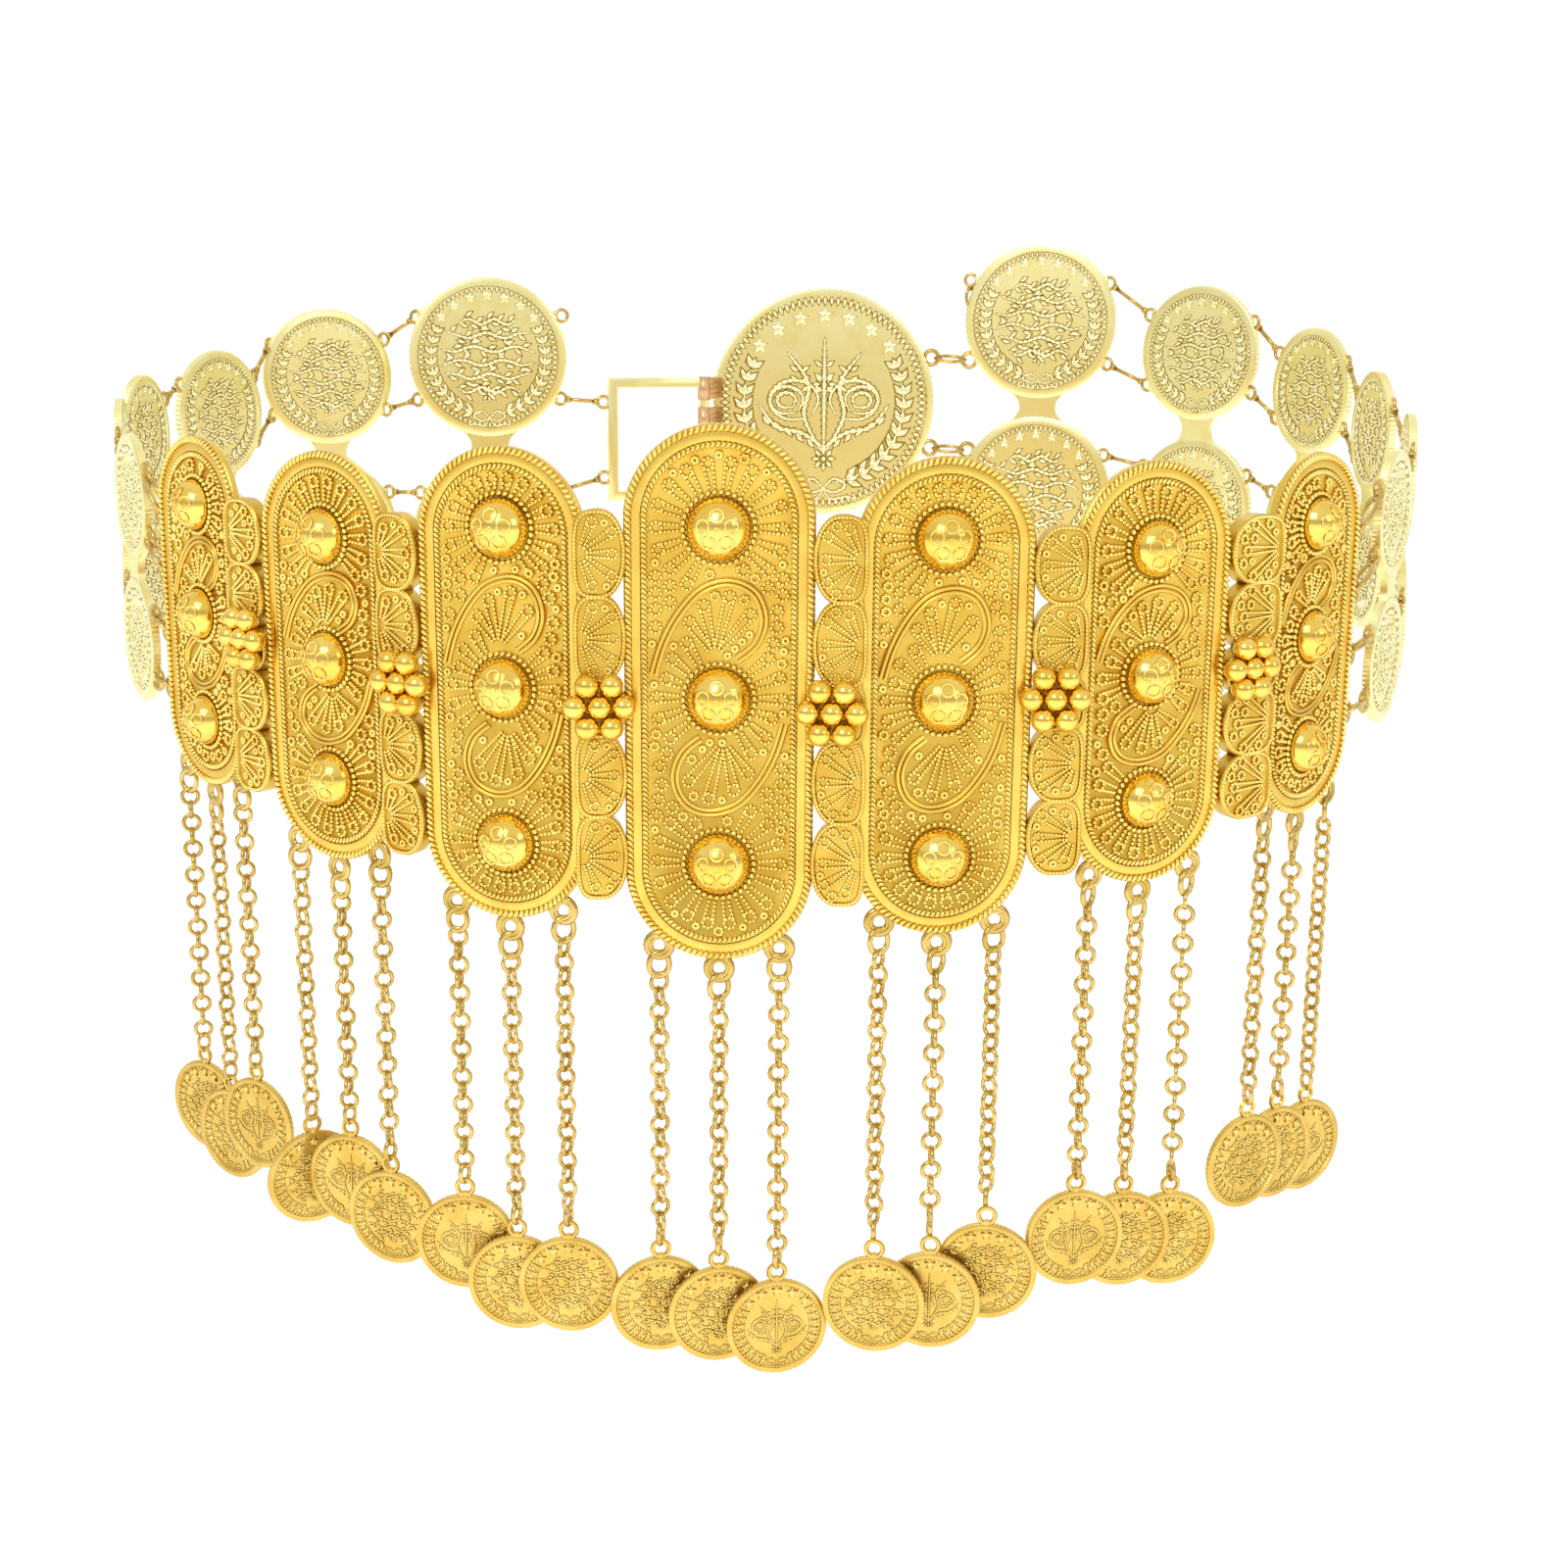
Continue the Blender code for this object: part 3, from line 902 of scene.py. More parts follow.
@dataclass
class Plate:
    """A stamped plate with a roped rim, a smooth band, three domes and a filigree field."""

    name: str
    size: PlateSize
    place: Place
    kit: Kit
    rope: float = 1.5 * MM
    band: float = 1.7 * MM
    lines: float = 1.3 * MM
    field_y: float = -0.6 * MM
    dome_rise: float = 5.1 * MM
    ring_out: float = 2.75 * MM
    ring: float = 1.25 * MM
    crown_ring: float = 0.6 * MM
    foot_gap: float = 0.65 * MM
    foot_bead: float = 0.66 * MM

    def __post_init__(self) -> None:
        """Turn the sizes into metres."""
        self.width = self.size.width * MM
        self.height = self.size.height * MM
        self.pitch = self.size.boss_pitch * MM
        self.boss = self.size.boss * MM / 2
        centre = PLATE_SIZES["centre"]
        self.art_x = self.size.width / centre.width * MM
        self.art_z = self.size.boss_pitch / centre.boss_pitch * MM

    def build(self) -> None:
        """Make the plate's pieces."""
        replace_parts(self.shell(), self.name)
        self.borders()
        self.domes()
        self.filigree()

    def shell(self) -> bpy.types.Object:
        """The stamped shell, open at the back, and the sunk field in it.

        Returns:
            The shell.
        """
        shell = stadium_blank(self.name + "_shell", self.width, self.height, 1.1 * MM, -0.5 * MM)
        rope, band = self.rope / MM, self.band / MM
        step_in(shell, faces_front, [(0.3, 0.3), (rope - 0.4, 0.0), (0.1, 0.12), (0.1, 0.03),
                                     (band - 0.35, 0.0), (0.1, -0.03), (0.1, -0.47)])
        step_in(shell, faces_back, [(0.9, 0.0), (0.1, -0.85)])
        edge = 2 * (self.rope + self.band) - 0.1 * MM
        sunk = stadium_blank(self.name + "_field", self.width - edge, self.height - edge,
                             0.35 * MM, -0.75 * MM)
        step_in(sunk, faces_front, [(self.lines / MM - 0.2, 0.0), (0.25, -0.15)])
        # The sunk field takes the darker ground tone: painted shade in the recess.
        for piece, finish in ((shell, Finish.BAND), (sunk, Finish.GROUND)):
            piece.data.transform(self.place)
            dress(rounded(piece), finish)
        return shell

    def borders(self) -> None:
        """The twisted ropes on both sides of the smooth band."""
        ropes = Assembly(self.name + "_ropes")
        for inset, y, size in ((0.8 * MM, -0.78 * MM, 1.0 * MM),
                               (self.rope + self.band + 0.6 * MM, -0.72 * MM, 0.84 * MM)):
            for x, z, heading in even_steps(stadium(self.width, self.height, inset), 1.1 * size):
                ropes.put(self.kit.cord, seat(x, y, z, heading + 0.9, size, 1.0, 0.46))
        ropes.build(self.place, Finish.RAISED)

    def domes(self) -> None:
        """The polished domes, each with five small rings struck on its crown and a beaded foot."""
        domes = Assembly(self.name + "_domes")
        rings = Assembly(self.name + "_dome_rings")
        rise, out = self.dome_rise, self.ring_out
        for z in (-self.pitch, 0.0, self.pitch):
            spot = Matrix.Translation((0, self.field_y, z))
            domes.put(self.kit.ball, spot @ Matrix.Diagonal((self.boss, rise, self.boss, 1)))
            lift = rise * math.sqrt(1 - (out / self.boss) ** 2)
            lean = math.atan(rise * out / (self.boss * math.sqrt(self.boss ** 2 - out ** 2)))
            for i in range(5):
                spoke = Matrix.Rotation(math.radians(-72 * i - 18), 4, "Y")
                rings.put(self.kit.circle, spot @ spoke @ Matrix.Translation((out, -lift, 0))
                          @ Matrix.Rotation(lean, 4, "Z") @ grown(self.ring))
            rings.put(self.kit.circle, spot @ Matrix.Translation((0, -rise, 0)) @ grown(self.crown_ring))
            foot = self.boss + self.foot_gap
            for x, up, heading in even_steps(stadium(2 * foot, 2 * foot, 0.0), 1.2 * MM):
                rings.put(self.kit.granule, spot @ seat(x, 0.0, up, heading + 0.6, self.foot_bead, 1.1, 0.86))
        domes.build(self.place, Finish.POLISHED)
        rings.build(self.place, Finish.RAISED)

    def scroll_line(self) -> list[Flat]:
        """The middle line of the upper scroll: a hook that runs down to the left border."""
        knots = ((3.4, 7.4), (6.8, 10.4), (8.2, 15.0), (6.4, 19.6), (2.0, 21.5), (-3.2, 20.0), (-7.3, 15.6),
                 (-10.2, 10.2), (-12.0, 4.4))
        return smooth_line([(x * self.art_x, z * self.art_z) for x, z in knots])

    def filigree(self) -> None:
        """The scroll wires, their palmettes, the fans round the domes and the curls between them."""
        inner = self.width / 2 - self.rope - self.band - self.lines
        work = Filigree(self.kit, self.name + "_filigree", self.field_y + 0.05 * MM, inner + 0.25 * MM,
                        (self.height - self.width) / 2)
        middles = [(0.0, z) for z in (self.pitch, 0.0, -self.pitch)]
        work.taken.extend((*middle, self.boss + 1.3 * MM) for middle in middles)
        wires = Assembly(self.name + "_scrolls")
        line = self.scroll_line()
        for turn in (1.0, -1.0):
            for out in (-0.46 * MM, 0.46 * MM):
                run = [(x * turn, self.field_y - 0.25 * MM, z * turn) for x, z in shift_line(line, out)]
                wires.put(wire_shape(run, 0.42 * MM, 2), Matrix())
            work.taken.extend((x * turn, z * turn, 0.9 * MM) for x, z in line)
            rise = math.pi / 2 * turn
            root = (-0.8 * self.art_x * turn, 7.9 * self.art_z * turn)
            for reach, leans, loop, foot in ((11.2, (-40, -14, 12, 37), 1.0 * MM, 0.35 * MM),
                                             (8.0, (-60, 56), 0.8 * MM, 0.3 * MM)):
                angles = [rise + math.radians(lean) for lean in leans]
                work.fan(*root, (1.3 * MM, reach * self.art_z), angles, loop, foot)
        for middle in middles:
            for rays, loop, foot in ((18, 1.0 * MM, 0.5 * MM), (26, 0.6 * MM, 0.0)):
                angles = [2 * math.pi * (i + 0.5) / rays + math.pi / 2 for i in range(rays)]
                work.fan(*middle, (self.boss + 1.3 * MM, inner - 1.25 * MM), angles, loop, foot)
        work.fill(middles, (1.0 * MM, 0.72 * MM, 0.5 * MM))
        # The filigree wire takes the paler raised tone: painted highlight.
        work.art.build(self.place, Finish.RAISED)
        wires.build(self.place, Finish.BAND)


def shift_line(line: Sequence[Flat], out: float) -> list[Flat]:
    """Move a line sideways by a set distance.

    Args:
        line: The line's points.
        out: Distance to its right.

    Returns:
        The moved points.
    """
    moved = []
    for i, (x, z) in enumerate(line):
        ax, az = line[max(i - 1, 0)]
        bx, bz = line[min(i + 1, len(line) - 1)]
        length = math.hypot(bx - ax, bz - az)
        moved.append((x + (bz - az) / length * out, z - (bx - ax) / length * out))
    return moved


@dataclass
class Connector:
    """A scalloped filigree strip with a rosette of seven balls, between two plates."""

    name: str
    index: int
    kit: Kit
    ball: float = 2.25 * MM
    front: float = -1.75 * MM
    depth: float = 2.8 * MM
    lap: float = 2.3 * MM
    bead: float = 0.44 * MM

    def build(self) -> None:
        """Make the strip, its filigree and its rosette."""
        first, second = PLATE_SIZES[STATIONS[self.index].size], PLATE_SIZES[STATIONS[self.index + 1].size]
        start = place_of(self.index) @ Vector((first.width * MM / 2, 0, 0))
        end = place_of(self.index + 1) @ Vector((-second.width * MM / 2, 0, 0))
        run = end - start
        place = Matrix.Translation((start + end) / 2) @ Matrix.Rotation(math.atan2(run.y, run.x), 4, "Z")
        hand = -1.0 if self.index < CENTRE_INDEX else 1.0
        half = run.to_2d().length / 2 + 0.35 * MM + self.lap / 2
        tall = STRIP_SHARE * min(first.height, second.height) * MM / 2
        strip_place = place @ Matrix.Translation((hand * self.lap / 2, 0, -STRIP_DROP))
        rows = [(share * tall, LOBE_HALF * tall) for share in LOBE_MIDDLES]
        body = self.body(half, [*rows, (0.0, SEAT_HALF * tall)], hand)
        body.data.transform(strip_place)
        # The strip takes the darker ground tone: painted shade under its beading.
        dress(rounded(body), Finish.GROUND)
        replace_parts(body, self.name)
        for number, (z, lobe) in enumerate(rows):
            self.lobe_art(number, z, half, lobe, hand).build(strip_place, Finish.RAISED)
        shift, lift = ROSETTES[self.name]
        self.rosette(place @ Matrix.Translation((shift * MM, 0, lift * MM)))

    @staticmethod
    def outline(half: float, tall: float, hand: float) -> list[Flat]:
        """A lobe's outline, nearly straight beside the plate that it laps over and round on the free side.

        Args:
            half: Half its width.
            tall: Half its height.
            hand: Side of the plate.

        Returns:
            The outline's points.
        """
        rows = []
        for i in range(48):
            c, s = math.cos(math.pi * i / 24), math.sin(math.pi * i / 24)
            power = 0.55 if c * hand > 0 else 0.92
            rows.append((half * math.copysign(abs(c) ** power, c), tall * math.copysign(abs(s) ** power, s)))
        return rows

    def body(self, half: float, rows: Sequence[Flat], hand: float) -> bpy.types.Object:
        """Four lobes and the seat of the rosette, joined as one strip.

        Args:
            half: Half the width of a lobe.
            rows: Height of each lobe's middle and half its own height.
            hand: Side of the plate that the strip laps over.

        Returns:
            The strip.
        """
        parts = []
        middle = self.front + self.depth / 2
        for z, tall in rows:
            bpy.ops.object.select_all(action="DESELECT")
            bpy.ops.mesh.primitive_cylinder_add(vertices=48, radius=1.0, depth=self.depth,
                                                rotation=(math.pi / 2, 0, 0), location=(0, middle, z))
            part = added("lobe")
            outline = self.outline(half, tall + 0.4 * MM, hand)
            for vertex in part.data.vertices:
                angle = math.atan2(vertex.co.z - z, vertex.co.x)
                x, up = outline[round(angle * 24 / math.pi) % 48]
                hidden = self.lap if vertex.co.y > middle and x * hand > 0 else 0.0
                vertex.co.x = x * (half - hidden) / half
                vertex.co.z = z + up
            step_in(part, faces_front, [(0.25, 0.25), (0.5, 0.0), (0.2, -0.35)])
            parts.append(part)
        select_only(parts[0])
        for part in parts:
            part.select_set(True)
        bpy.ops.object.join()
        strip = bpy.context.object
        strip.name = self.name + "_strip"
        return strip

    def lobe_art(self, number: int, z: float, half: float, tall: float, hand: float) -> Assembly:
        """Bead the rim of a lobe and lay a fan that opens from its side.

        Args:
            number: The lobe's number, counted from below.
            z: Height of its middle.
            half: Half its width.
            tall: Half its height.
            hand: Side where the fan has its root.

        Returns:
            The beading.
        """
        work = Filigree(self.kit, f"{self.name}_lobe_{number + 1}", self.front + 0.1 * MM, half - 0.95 * MM,
                        max(tall - half, 0.0) + 0.7 * MM, z, self.bead)
        for x, up, heading in even_steps(self.outline(half - 0.5 * MM, tall - 0.1 * MM, hand), 0.7 * MM):
            work.lay(x, z + up, heading)
        root = (hand * (half - 1.3 * MM), z)
        lean = math.pi * (hand > 0)
        work.fan(*root, (1.2 * MM, 9.0 * MM), [lean + math.radians(k) for k in (-68, -34, 0, 34, 68)],
                 0.85 * MM, 0.3 * MM)
        work.fill([(-root[0], z)], (0.8 * MM, 0.5 * MM))
        return work.art

    def rosette(self, place: Place) -> None:
        """Six polished balls round a seventh, proud of the plates."""
        balls = Assembly(self.name + "_rosette")
        y = PLATE_FRONT - 0.6 * MM - self.ball
        spots = [(0.0, 0.0)] + [(math.cos(math.radians(60 * k)) * 2 * self.ball,
                                 math.sin(math.radians(60 * k)) * 2 * self.ball) for k in range(6)]
        for x, z in spots:
            balls.put(self.kit.pearl, Matrix.Translation((x, y, z)) @ grown(self.ball))
        balls.put(self.kit.rod, between(Vector((0, y, 0)), Vector((0, 0.4 * MM, 0)), 4.4 * MM))
        balls.build(place, Finish.POLISHED)


@dataclass(frozen=True)
class CoinStyle:
    """How a coin is struck: counts, and the rim as a share of its radius."""

    teeth: int
    rim: float
    ribs: int
    leaves: int
    stars: int
    emblem: bool
    relief: Finish
    # The face whose relief gets dark pads of painted shade.
    shade_painted: Side = Side.INNER


# Reach of the stars and of the wreath, as shares of a coin's radius.
STAR_REACH = 0.765
WREATH_REACH = 0.72

# The last entry names the face with painted shade: the outer face of small coins, the inner face of links and
# disc.
SMALL_STYLE = CoinStyle(64, 0.075, 60, 9, 5, False, Finish.SMALL_RELIEF, Side.OUTER)
SMALL_EMBLEM = CoinStyle(64, 0.075, 60, 9, 5, True, Finish.SMALL_RELIEF, Side.OUTER)
LINK_STYLE = CoinStyle(84, 0.085, 84, 10, 7, False, Finish.PALE_RELIEF)
DISC_STYLE = CoinStyle(110, 0.045, 96, 11, 7, True, Finish.PALE_RELIEF)


class Relief:
    """A coin's relief: its raised lines and the dark pads of painted shade that outline them."""

    def __init__(self, name: str, finish: Finish) -> None:
        """Start with nothing struck."""
        self.raised = Assembly(name + "_relief")
        self.groove = Assembly(name + "_groove")
        self.finish = finish
        self.shade_painted = True

    def build(self, place: Place) -> None:
        """Make both meshes."""
        # The raised lines take the paler relief tone: painted highlight.
        self.raised.build(place, self.finish)
        # The dark pads are painted shade.
        self.groove.build(place, Finish.GROOVE)


@dataclass
class Coin:
    """A struck coin: milled edge, raised rim, ribs, stars, wreath and a leafy middle.

    Both faces carry the same relief, and dark pads of painted shade outline it on the face that its style
    picks.
    """

    radius: float
    thick: float
    style: CoinStyle
    kit: Kit
    milling: float = 0.014

    def blank(self) -> Shape:
        """The milled blank with a raised rim on both faces.

        Returns:
            The shape.
        """
        bpy.ops.object.select_all(action="DESELECT")
        bpy.ops.mesh.primitive_cylinder_add(vertices=2 * self.style.teeth, radius=self.radius,
                                            depth=self.thick, rotation=(math.pi / 2, 0, 0))
        coin = added("blank")
        for vertex in coin.data.vertices:
            step = round(math.atan2(vertex.co.z, vertex.co.x) / (math.pi / self.style.teeth))
            if step % 2:
                vertex.co.x *= 1 - self.milling
                vertex.co.z *= 1 - self.milling
        rim = self.radius * self.style.rim / MM
        for test in (faces_front, faces_back):
            step_in(coin, test, [(0.25, 0.15), (rim, 0.0), (0.2, -0.30)])
        return Shape.take(coin)

    def strike(self, art: "Relief", spot: Place) -> None:
        """Lay the relief on both faces.

        Args:
            art: What takes the relief.
            spot: Place of the coin's middle.
        """
        middle = self.emblem if self.style.emblem else self.spray
        lift = Matrix.Translation((0, -self.thick / 2 + 0.1 * MM, 0))
        for side in Side:
            face = spot @ Matrix.Rotation(side.value, 4, "Z") @ lift
            face = face @ grown(self.radius)
            art.shade_painted = side is self.style.shade_painted
            for part in (self.ribs, self.stars, self.wreath, middle):
                part(art, face)

    def leaf(self, art: "Relief", face: Place, x: float, z: float, turn: float, long: float,
             wide: float) -> None:
        """Lay one leaf, with a dark pad of painted shade under it on the face that takes painted shade.

        Args:
            art: What takes the relief.
            face: Place of the coin's face.
            x: Sideways place, like all sizes here a share of the coin's radius.
            z: Height.
            turn: The leaf's heading.
            long: Half its length.
            wide: Half its width.
        """
        art.raised.put(self.kit.leaf, face @ seat(x, 0, z, turn, wide, long / wide))
        # A wider, darker pad under the leaf: painted shade round the relief.
        if art.shade_painted:
            groove = 1.5 * wide
            art.groove.put(self.kit.pad, face @ seat(x, 0, z, turn, groove, (long + 0.4 * wide) / groove))

    def stroke(self, art: "Relief", face: Place, knots: Sequence[Flat], wide: float) -> None:
        """Lay a raised line that tapers to its ends.

        Args:
            art: What takes the relief.
            face: Place of the coin's face.
            knots: The line's knots, as shares of the radius.
            wide: Half its width.
        """
        line = np.array(smooth_line(knots, 8))
        run = np.concatenate([[0.0], np.cumsum(np.hypot(*np.diff(line, axis=0).T))])
        count = max(3, round(run[-1] / (2.2 * wide)))
        at = np.linspace(0.0, run[-1], count)
        x, z = np.interp(at, run, line[:, 0]), np.interp(at, run, line[:, 1])
        heading = np.arctan2(np.gradient(z), np.gradient(x))
        taper = np.sin(np.linspace(0.25, math.pi - 0.25, count)) ** 0.5
        for a, b, turn, share in zip(x, z, heading, taper):
            self.leaf(art, face, a, b, turn, 2.2 * wide, wide * share)

    def ribs(self, art: "Relief", face: Place) -> None:
        """The short radial ribs inside the rim."""
        edge = 1 - self.style.rim - 0.065
        for i in range(self.style.ribs):
            a = 2 * math.pi * i / self.style.ribs
            self.leaf(art, face, edge * math.cos(a), edge * math.sin(a), a, 0.042, 0.02)

    def stars(self, art: "Relief", face: Place) -> None:
        """A row of small five-pointed stars over the top."""
        size = 0.58 / self.style.stars
        for i in range(self.style.stars):
            a = math.radians(90 + (i - (self.style.stars - 1) / 2) * 116 / self.style.stars)
            spot = Matrix.Translation((STAR_REACH * math.cos(a), 0, STAR_REACH * math.sin(a)))
            art.raised.put(self.kit.star, face @ spot @ grown(size))

    def wreath(self, art: "Relief", face: Place) -> None:
        """Two leafy branches that rise from a bow at the foot."""
        for hand in (1, -1):
            sweep = np.radians(np.linspace(-82, 22, 8))
            branch = [(hand * WREATH_REACH * math.cos(a), WREATH_REACH * math.sin(a)) for a in sweep]
            self.stroke(art, face, branch, 0.014)
            for i in range(self.style.leaves):
                k = i / (self.style.leaves - 1)
                a = math.radians(-74 + 98 * k)
                for lean in (0.62, -0.62, 0.0):
                    turn = a + math.pi / 2 + lean
                    long = (0.088 - 0.02 * k) * (0.8 if lean == 0 else 1.0)
                    x = WREATH_REACH * math.cos(a) + long * math.cos(turn)
                    z = WREATH_REACH * math.sin(a) + long * math.sin(turn)
                    self.leaf(art, face, hand * x, z, turn if hand > 0 else math.pi - turn, long, 0.03)
            bow = ((0, -0.76), (0.1, -0.68), (0.2, -0.74), (0.1, -0.8), (0, -0.77))
            ribbon = ((0, -0.77), (0.07, -0.86), (0.22, -0.84), (0.3, -0.88))
            self.stroke(art, face, [(hand * x, z) for x, z in bow], 0.017)
            self.stroke(art, face, [(hand * x, z) for x, z in ribbon], 0.014)

    def spray(self, art: "Relief", face: Place) -> None:
        """Six rows of waving stems with leaves across the middle."""
        for row in range(6):
            z = 0.44 - 0.17 * row
            reach = math.sqrt(0.55 ** 2 - z * z) if abs(z) < 0.54 else 0.1
            knots = [(reach * k, z + 0.035 * math.sin(6.5 * k + 1.9 * row)) for k in np.linspace(-1, 1, 9)]
            self.stroke(art, face, knots, 0.028)
            for i in range(10):
                k = (i + 0.5) / 5 - 1
                side = 1 if (i + row) % 2 else -1
                turn = side * (0.5 + 0.3 * math.sin(3 * i + row))
                stem = z + 0.035 * math.sin(6.5 * k + 1.9 * row)
                self.leaf(art, face, reach * k, stem + side * 0.06, turn, 0.07, 0.026)
        self.flower(art, face, -0.46)

    def emblem(self, art: "Relief", face: Place) -> None:
        """A blossom on three leafy stems with two curling scrolls to each side."""
        for lean in (-0.2, 0.0, 0.2):
            tip = 0.52 - abs(lean) * 0.6
            knots = [(lean * 0.2, -0.4), (lean * 0.9, -0.12), (lean * 0.7, 0.16), (lean * 1.5, tip)]
            self.stroke(art, face, knots, 0.026)
            for i in range(3):
                height = 0.12 + 0.11 * i * (1 - abs(lean))
                for hand in (1, -1):
                    turn = hand * 0.6 + (hand < 0) * math.pi
                    self.leaf(art, face, lean * 1.1 + hand * 0.05, height, turn, 0.05, 0.02)
        for hand in (1, -1):
            for middle, grow in ((0.34, 1.0), (0.34, 0.55), (0.27, 1.45)):
                loop = [(hand * (middle + grow * 0.15 * math.cos(a)), 0.02 + grow * 0.12 * math.sin(a))
                        for a in np.radians(np.linspace(215, -110, 10))]
                self.stroke(art, face, loop, 0.022)
            branch = ((0, -0.4), (0.2, -0.27), (0.42, -0.22), (0.56, -0.06))
            self.stroke(art, face, [(hand * x, z) for x, z in branch], 0.026)
            turn = hand * 0.9 + (hand < 0) * math.pi
            for i in range(5):
                self.leaf(art, face, hand * (0.12 + 0.1 * i), -0.36 + 0.05 * i, turn, 0.06, 0.024)
        self.flower(art, face, -0.5)
        self.flower(art, face, 0.16)

    def flower(self, art: "Relief", face: Place, z: float) -> None:
        """Eight petals round a small bead."""
        for petal in range(8):
            a = math.radians(45 * petal)
            self.leaf(art, face, 0.07 * math.cos(a), z + 0.07 * math.sin(a), a, 0.042, 0.02)
        self.leaf(art, face, 0.0, z, 0.0, 0.028, 0.028)


@dataclass
class Drop:
    """A chain of round links with a pierced lug above and a small coin below."""

    name: str
    x: float
    edge: float
    length: float
    turn: float
    lift: float
    place: Place
    kit: Kit
    style: CoinStyle
    twist: float = 0.0
    pitch: float = 2.95 * MM
    lug_seat: float = 1.9 * MM
    eye_seat: float = 1.5 * MM
    chain_top: float = 7.3 * MM
    chain_foot: float = 6.0 * MM

    def build(self) -> None:
        """Make the chain and its coin."""
        coin_z = self.edge - LUG_DROP - self.length
        chain = Assembly(self.name + "_chain")
        top = self.edge - self.lug_seat
        bottom = coin_z + SMALL_COIN / 2 + self.eye_seat
        for grow, deep in ((1.0, 0.7), (0.7, 0.62)):
            chain.put(self.kit.lug, Matrix.Translation((self.x, 0, top)) @ grown(grow, deep, grow))
        self.oval(chain, top - 3.8 * MM, 2.5 * MM, 3.0 * MM, self.twist * 0.4)
        self.oval(chain, bottom + 2.9 * MM, 1.6 * MM, 2.4 * MM, 1.2 + self.twist * 0.2)
        start, end = top - self.chain_top, bottom + self.chain_foot
        count = round((start - end) / self.pitch)
        for i in range(count + 1):
            z = start + (end - start) * i / count
            turn = self.twist + (math.pi / 2 if i % 2 else 0.0)
            chain.put(self.kit.link, Matrix.Translation((self.x, 0, z)) @ Matrix.Rotation(turn, 4, "Z"))
        chain.build(self.place, Finish.CHAIN)
        turned = Matrix.Translation((self.x, -self.lift, 0)) @ Matrix.Rotation(self.turn, 4, "Z")
        spot = turned @ Matrix.Translation((0, 0, coin_z))
        coin = Coin(SMALL_COIN / 2, 0.9 * MM, self.style, self.kit)
        blank, relief = Assembly(self.name + "_coin"), Relief(self.name, self.style.relief)
        blank.put(coin.blank(), spot)
        blank.put(self.kit.eye, turned @ Matrix.Translation((0, 0, bottom)))
        blank.put(self.kit.rod, spot @ between(Vector((0, 0, 9.6 * MM)), Vector((0, 0, 10.5 * MM)), 1.3 * MM))
        coin.strike(relief, spot)
        piece = blank.build(self.place, Finish.SMALL_COIN)
        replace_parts(rounded(piece), self.name)
        relief.build(self.place)

    def oval(self, chain: Assembly, z: float, wide: float, tall: float, turn: float) -> None:
        """An oval ring hung at a height, with its outer half width and half height."""
        outer = 2.1 * MM
        chain.put(self.kit.eye, Matrix.Translation((self.x, 0, z)) @ Matrix.Rotation(turn, 4, "Z")
                  @ grown(wide / outer, 1.1, tall / outer))


@dataclass
class DoubleLink:
    """Two struck coins, one above the other, joined by a short flat bridge."""

    index: int
    kit: Kit

    def build(self) -> None:
        """Make the coins, the bridge and the side tabs."""
        station = STATIONS[self.index]
        place = place_of(self.index)
        width, height = (v * MM for v in LINK_SIZES[station.size])
        half = (height - width) / 2
        coin = Coin(width / 2, 1.6 * MM, LINK_STYLE, self.kit)
        blank = coin.blank()
        piece, relief = Assembly(station.name + "_coins"), Relief(station.name, Finish.PALE_RELIEF)
        for z in (half, -half):
            spot = Matrix.Translation((0, 0, z))
            piece.put(blank, spot)
            coin.strike(relief, spot)
        piece.put(self.bridge(width * 0.26, half - width / 2 + 1.8 * MM), Matrix())
        for z, edge in joint_rows(Kind.LINK, station.size):
            for hand in (-1, 1):
                root = Vector((hand * (edge - 1.5 * MM), 0, z))
                tab = between(root, Vector((hand * (edge + 0.5 * MM), 0, z)), 2.6 * MM)
                piece.put(self.kit.rod, tab @ grown(0.5, 1.0, 1.0))
        built = piece.build(place, Finish.PALE)
        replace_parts(rounded(built), station.name)
        relief.build(place)
        if station.size == "first":
            self.spare_rings(place)

    def spare_rings(self, place: Place) -> None:
        """The unused ring on the clasp's side; on the right-hand link a loose oval hangs from it."""
        hand = 1.0 if STATIONS[self.index].x > 0 else -1.0
        z, edge = joint_rows(Kind.LINK, "first")[0]
        spot = Vector((hand * (edge + 1.9 * MM), 0, z))
        rings = Assembly(STATIONS[self.index].name + "_spare_rings")
        rings.put(self.kit.eye, Matrix.Translation(spot))
        if hand > 0:
            hung = Matrix.Translation(spot - Vector((0, 0, 4.6 * MM))) @ Matrix.Rotation(0.9, 4, "Z")
            rings.put(self.kit.eye, hung @ grown(0.95, 1.0, 1.55))
        rings.build(place, Finish.CHAIN)

    def bridge(self, width: float, gap: float) -> Shape:
        """A flat neck that flares into both coins."""
        bpy.ops.object.select_all(action="DESELECT")
        bpy.ops.mesh.primitive_cube_add(size=1.0, scale=(width, 1.5 * MM, 2 * gap))
        neck = added("neck")
        bpy.ops.object.mode_set(mode="EDIT")
        bpy.ops.mesh.select_all(action="SELECT")
        bpy.ops.mesh.subdivide(number_cuts=6)
        bpy.ops.object.mode_set(mode="OBJECT")
        for vertex in neck.data.vertices:
            vertex.co.x *= 0.9 + 0.5 * (abs(vertex.co.z) / gap) ** 2
        return Shape.take(neck)


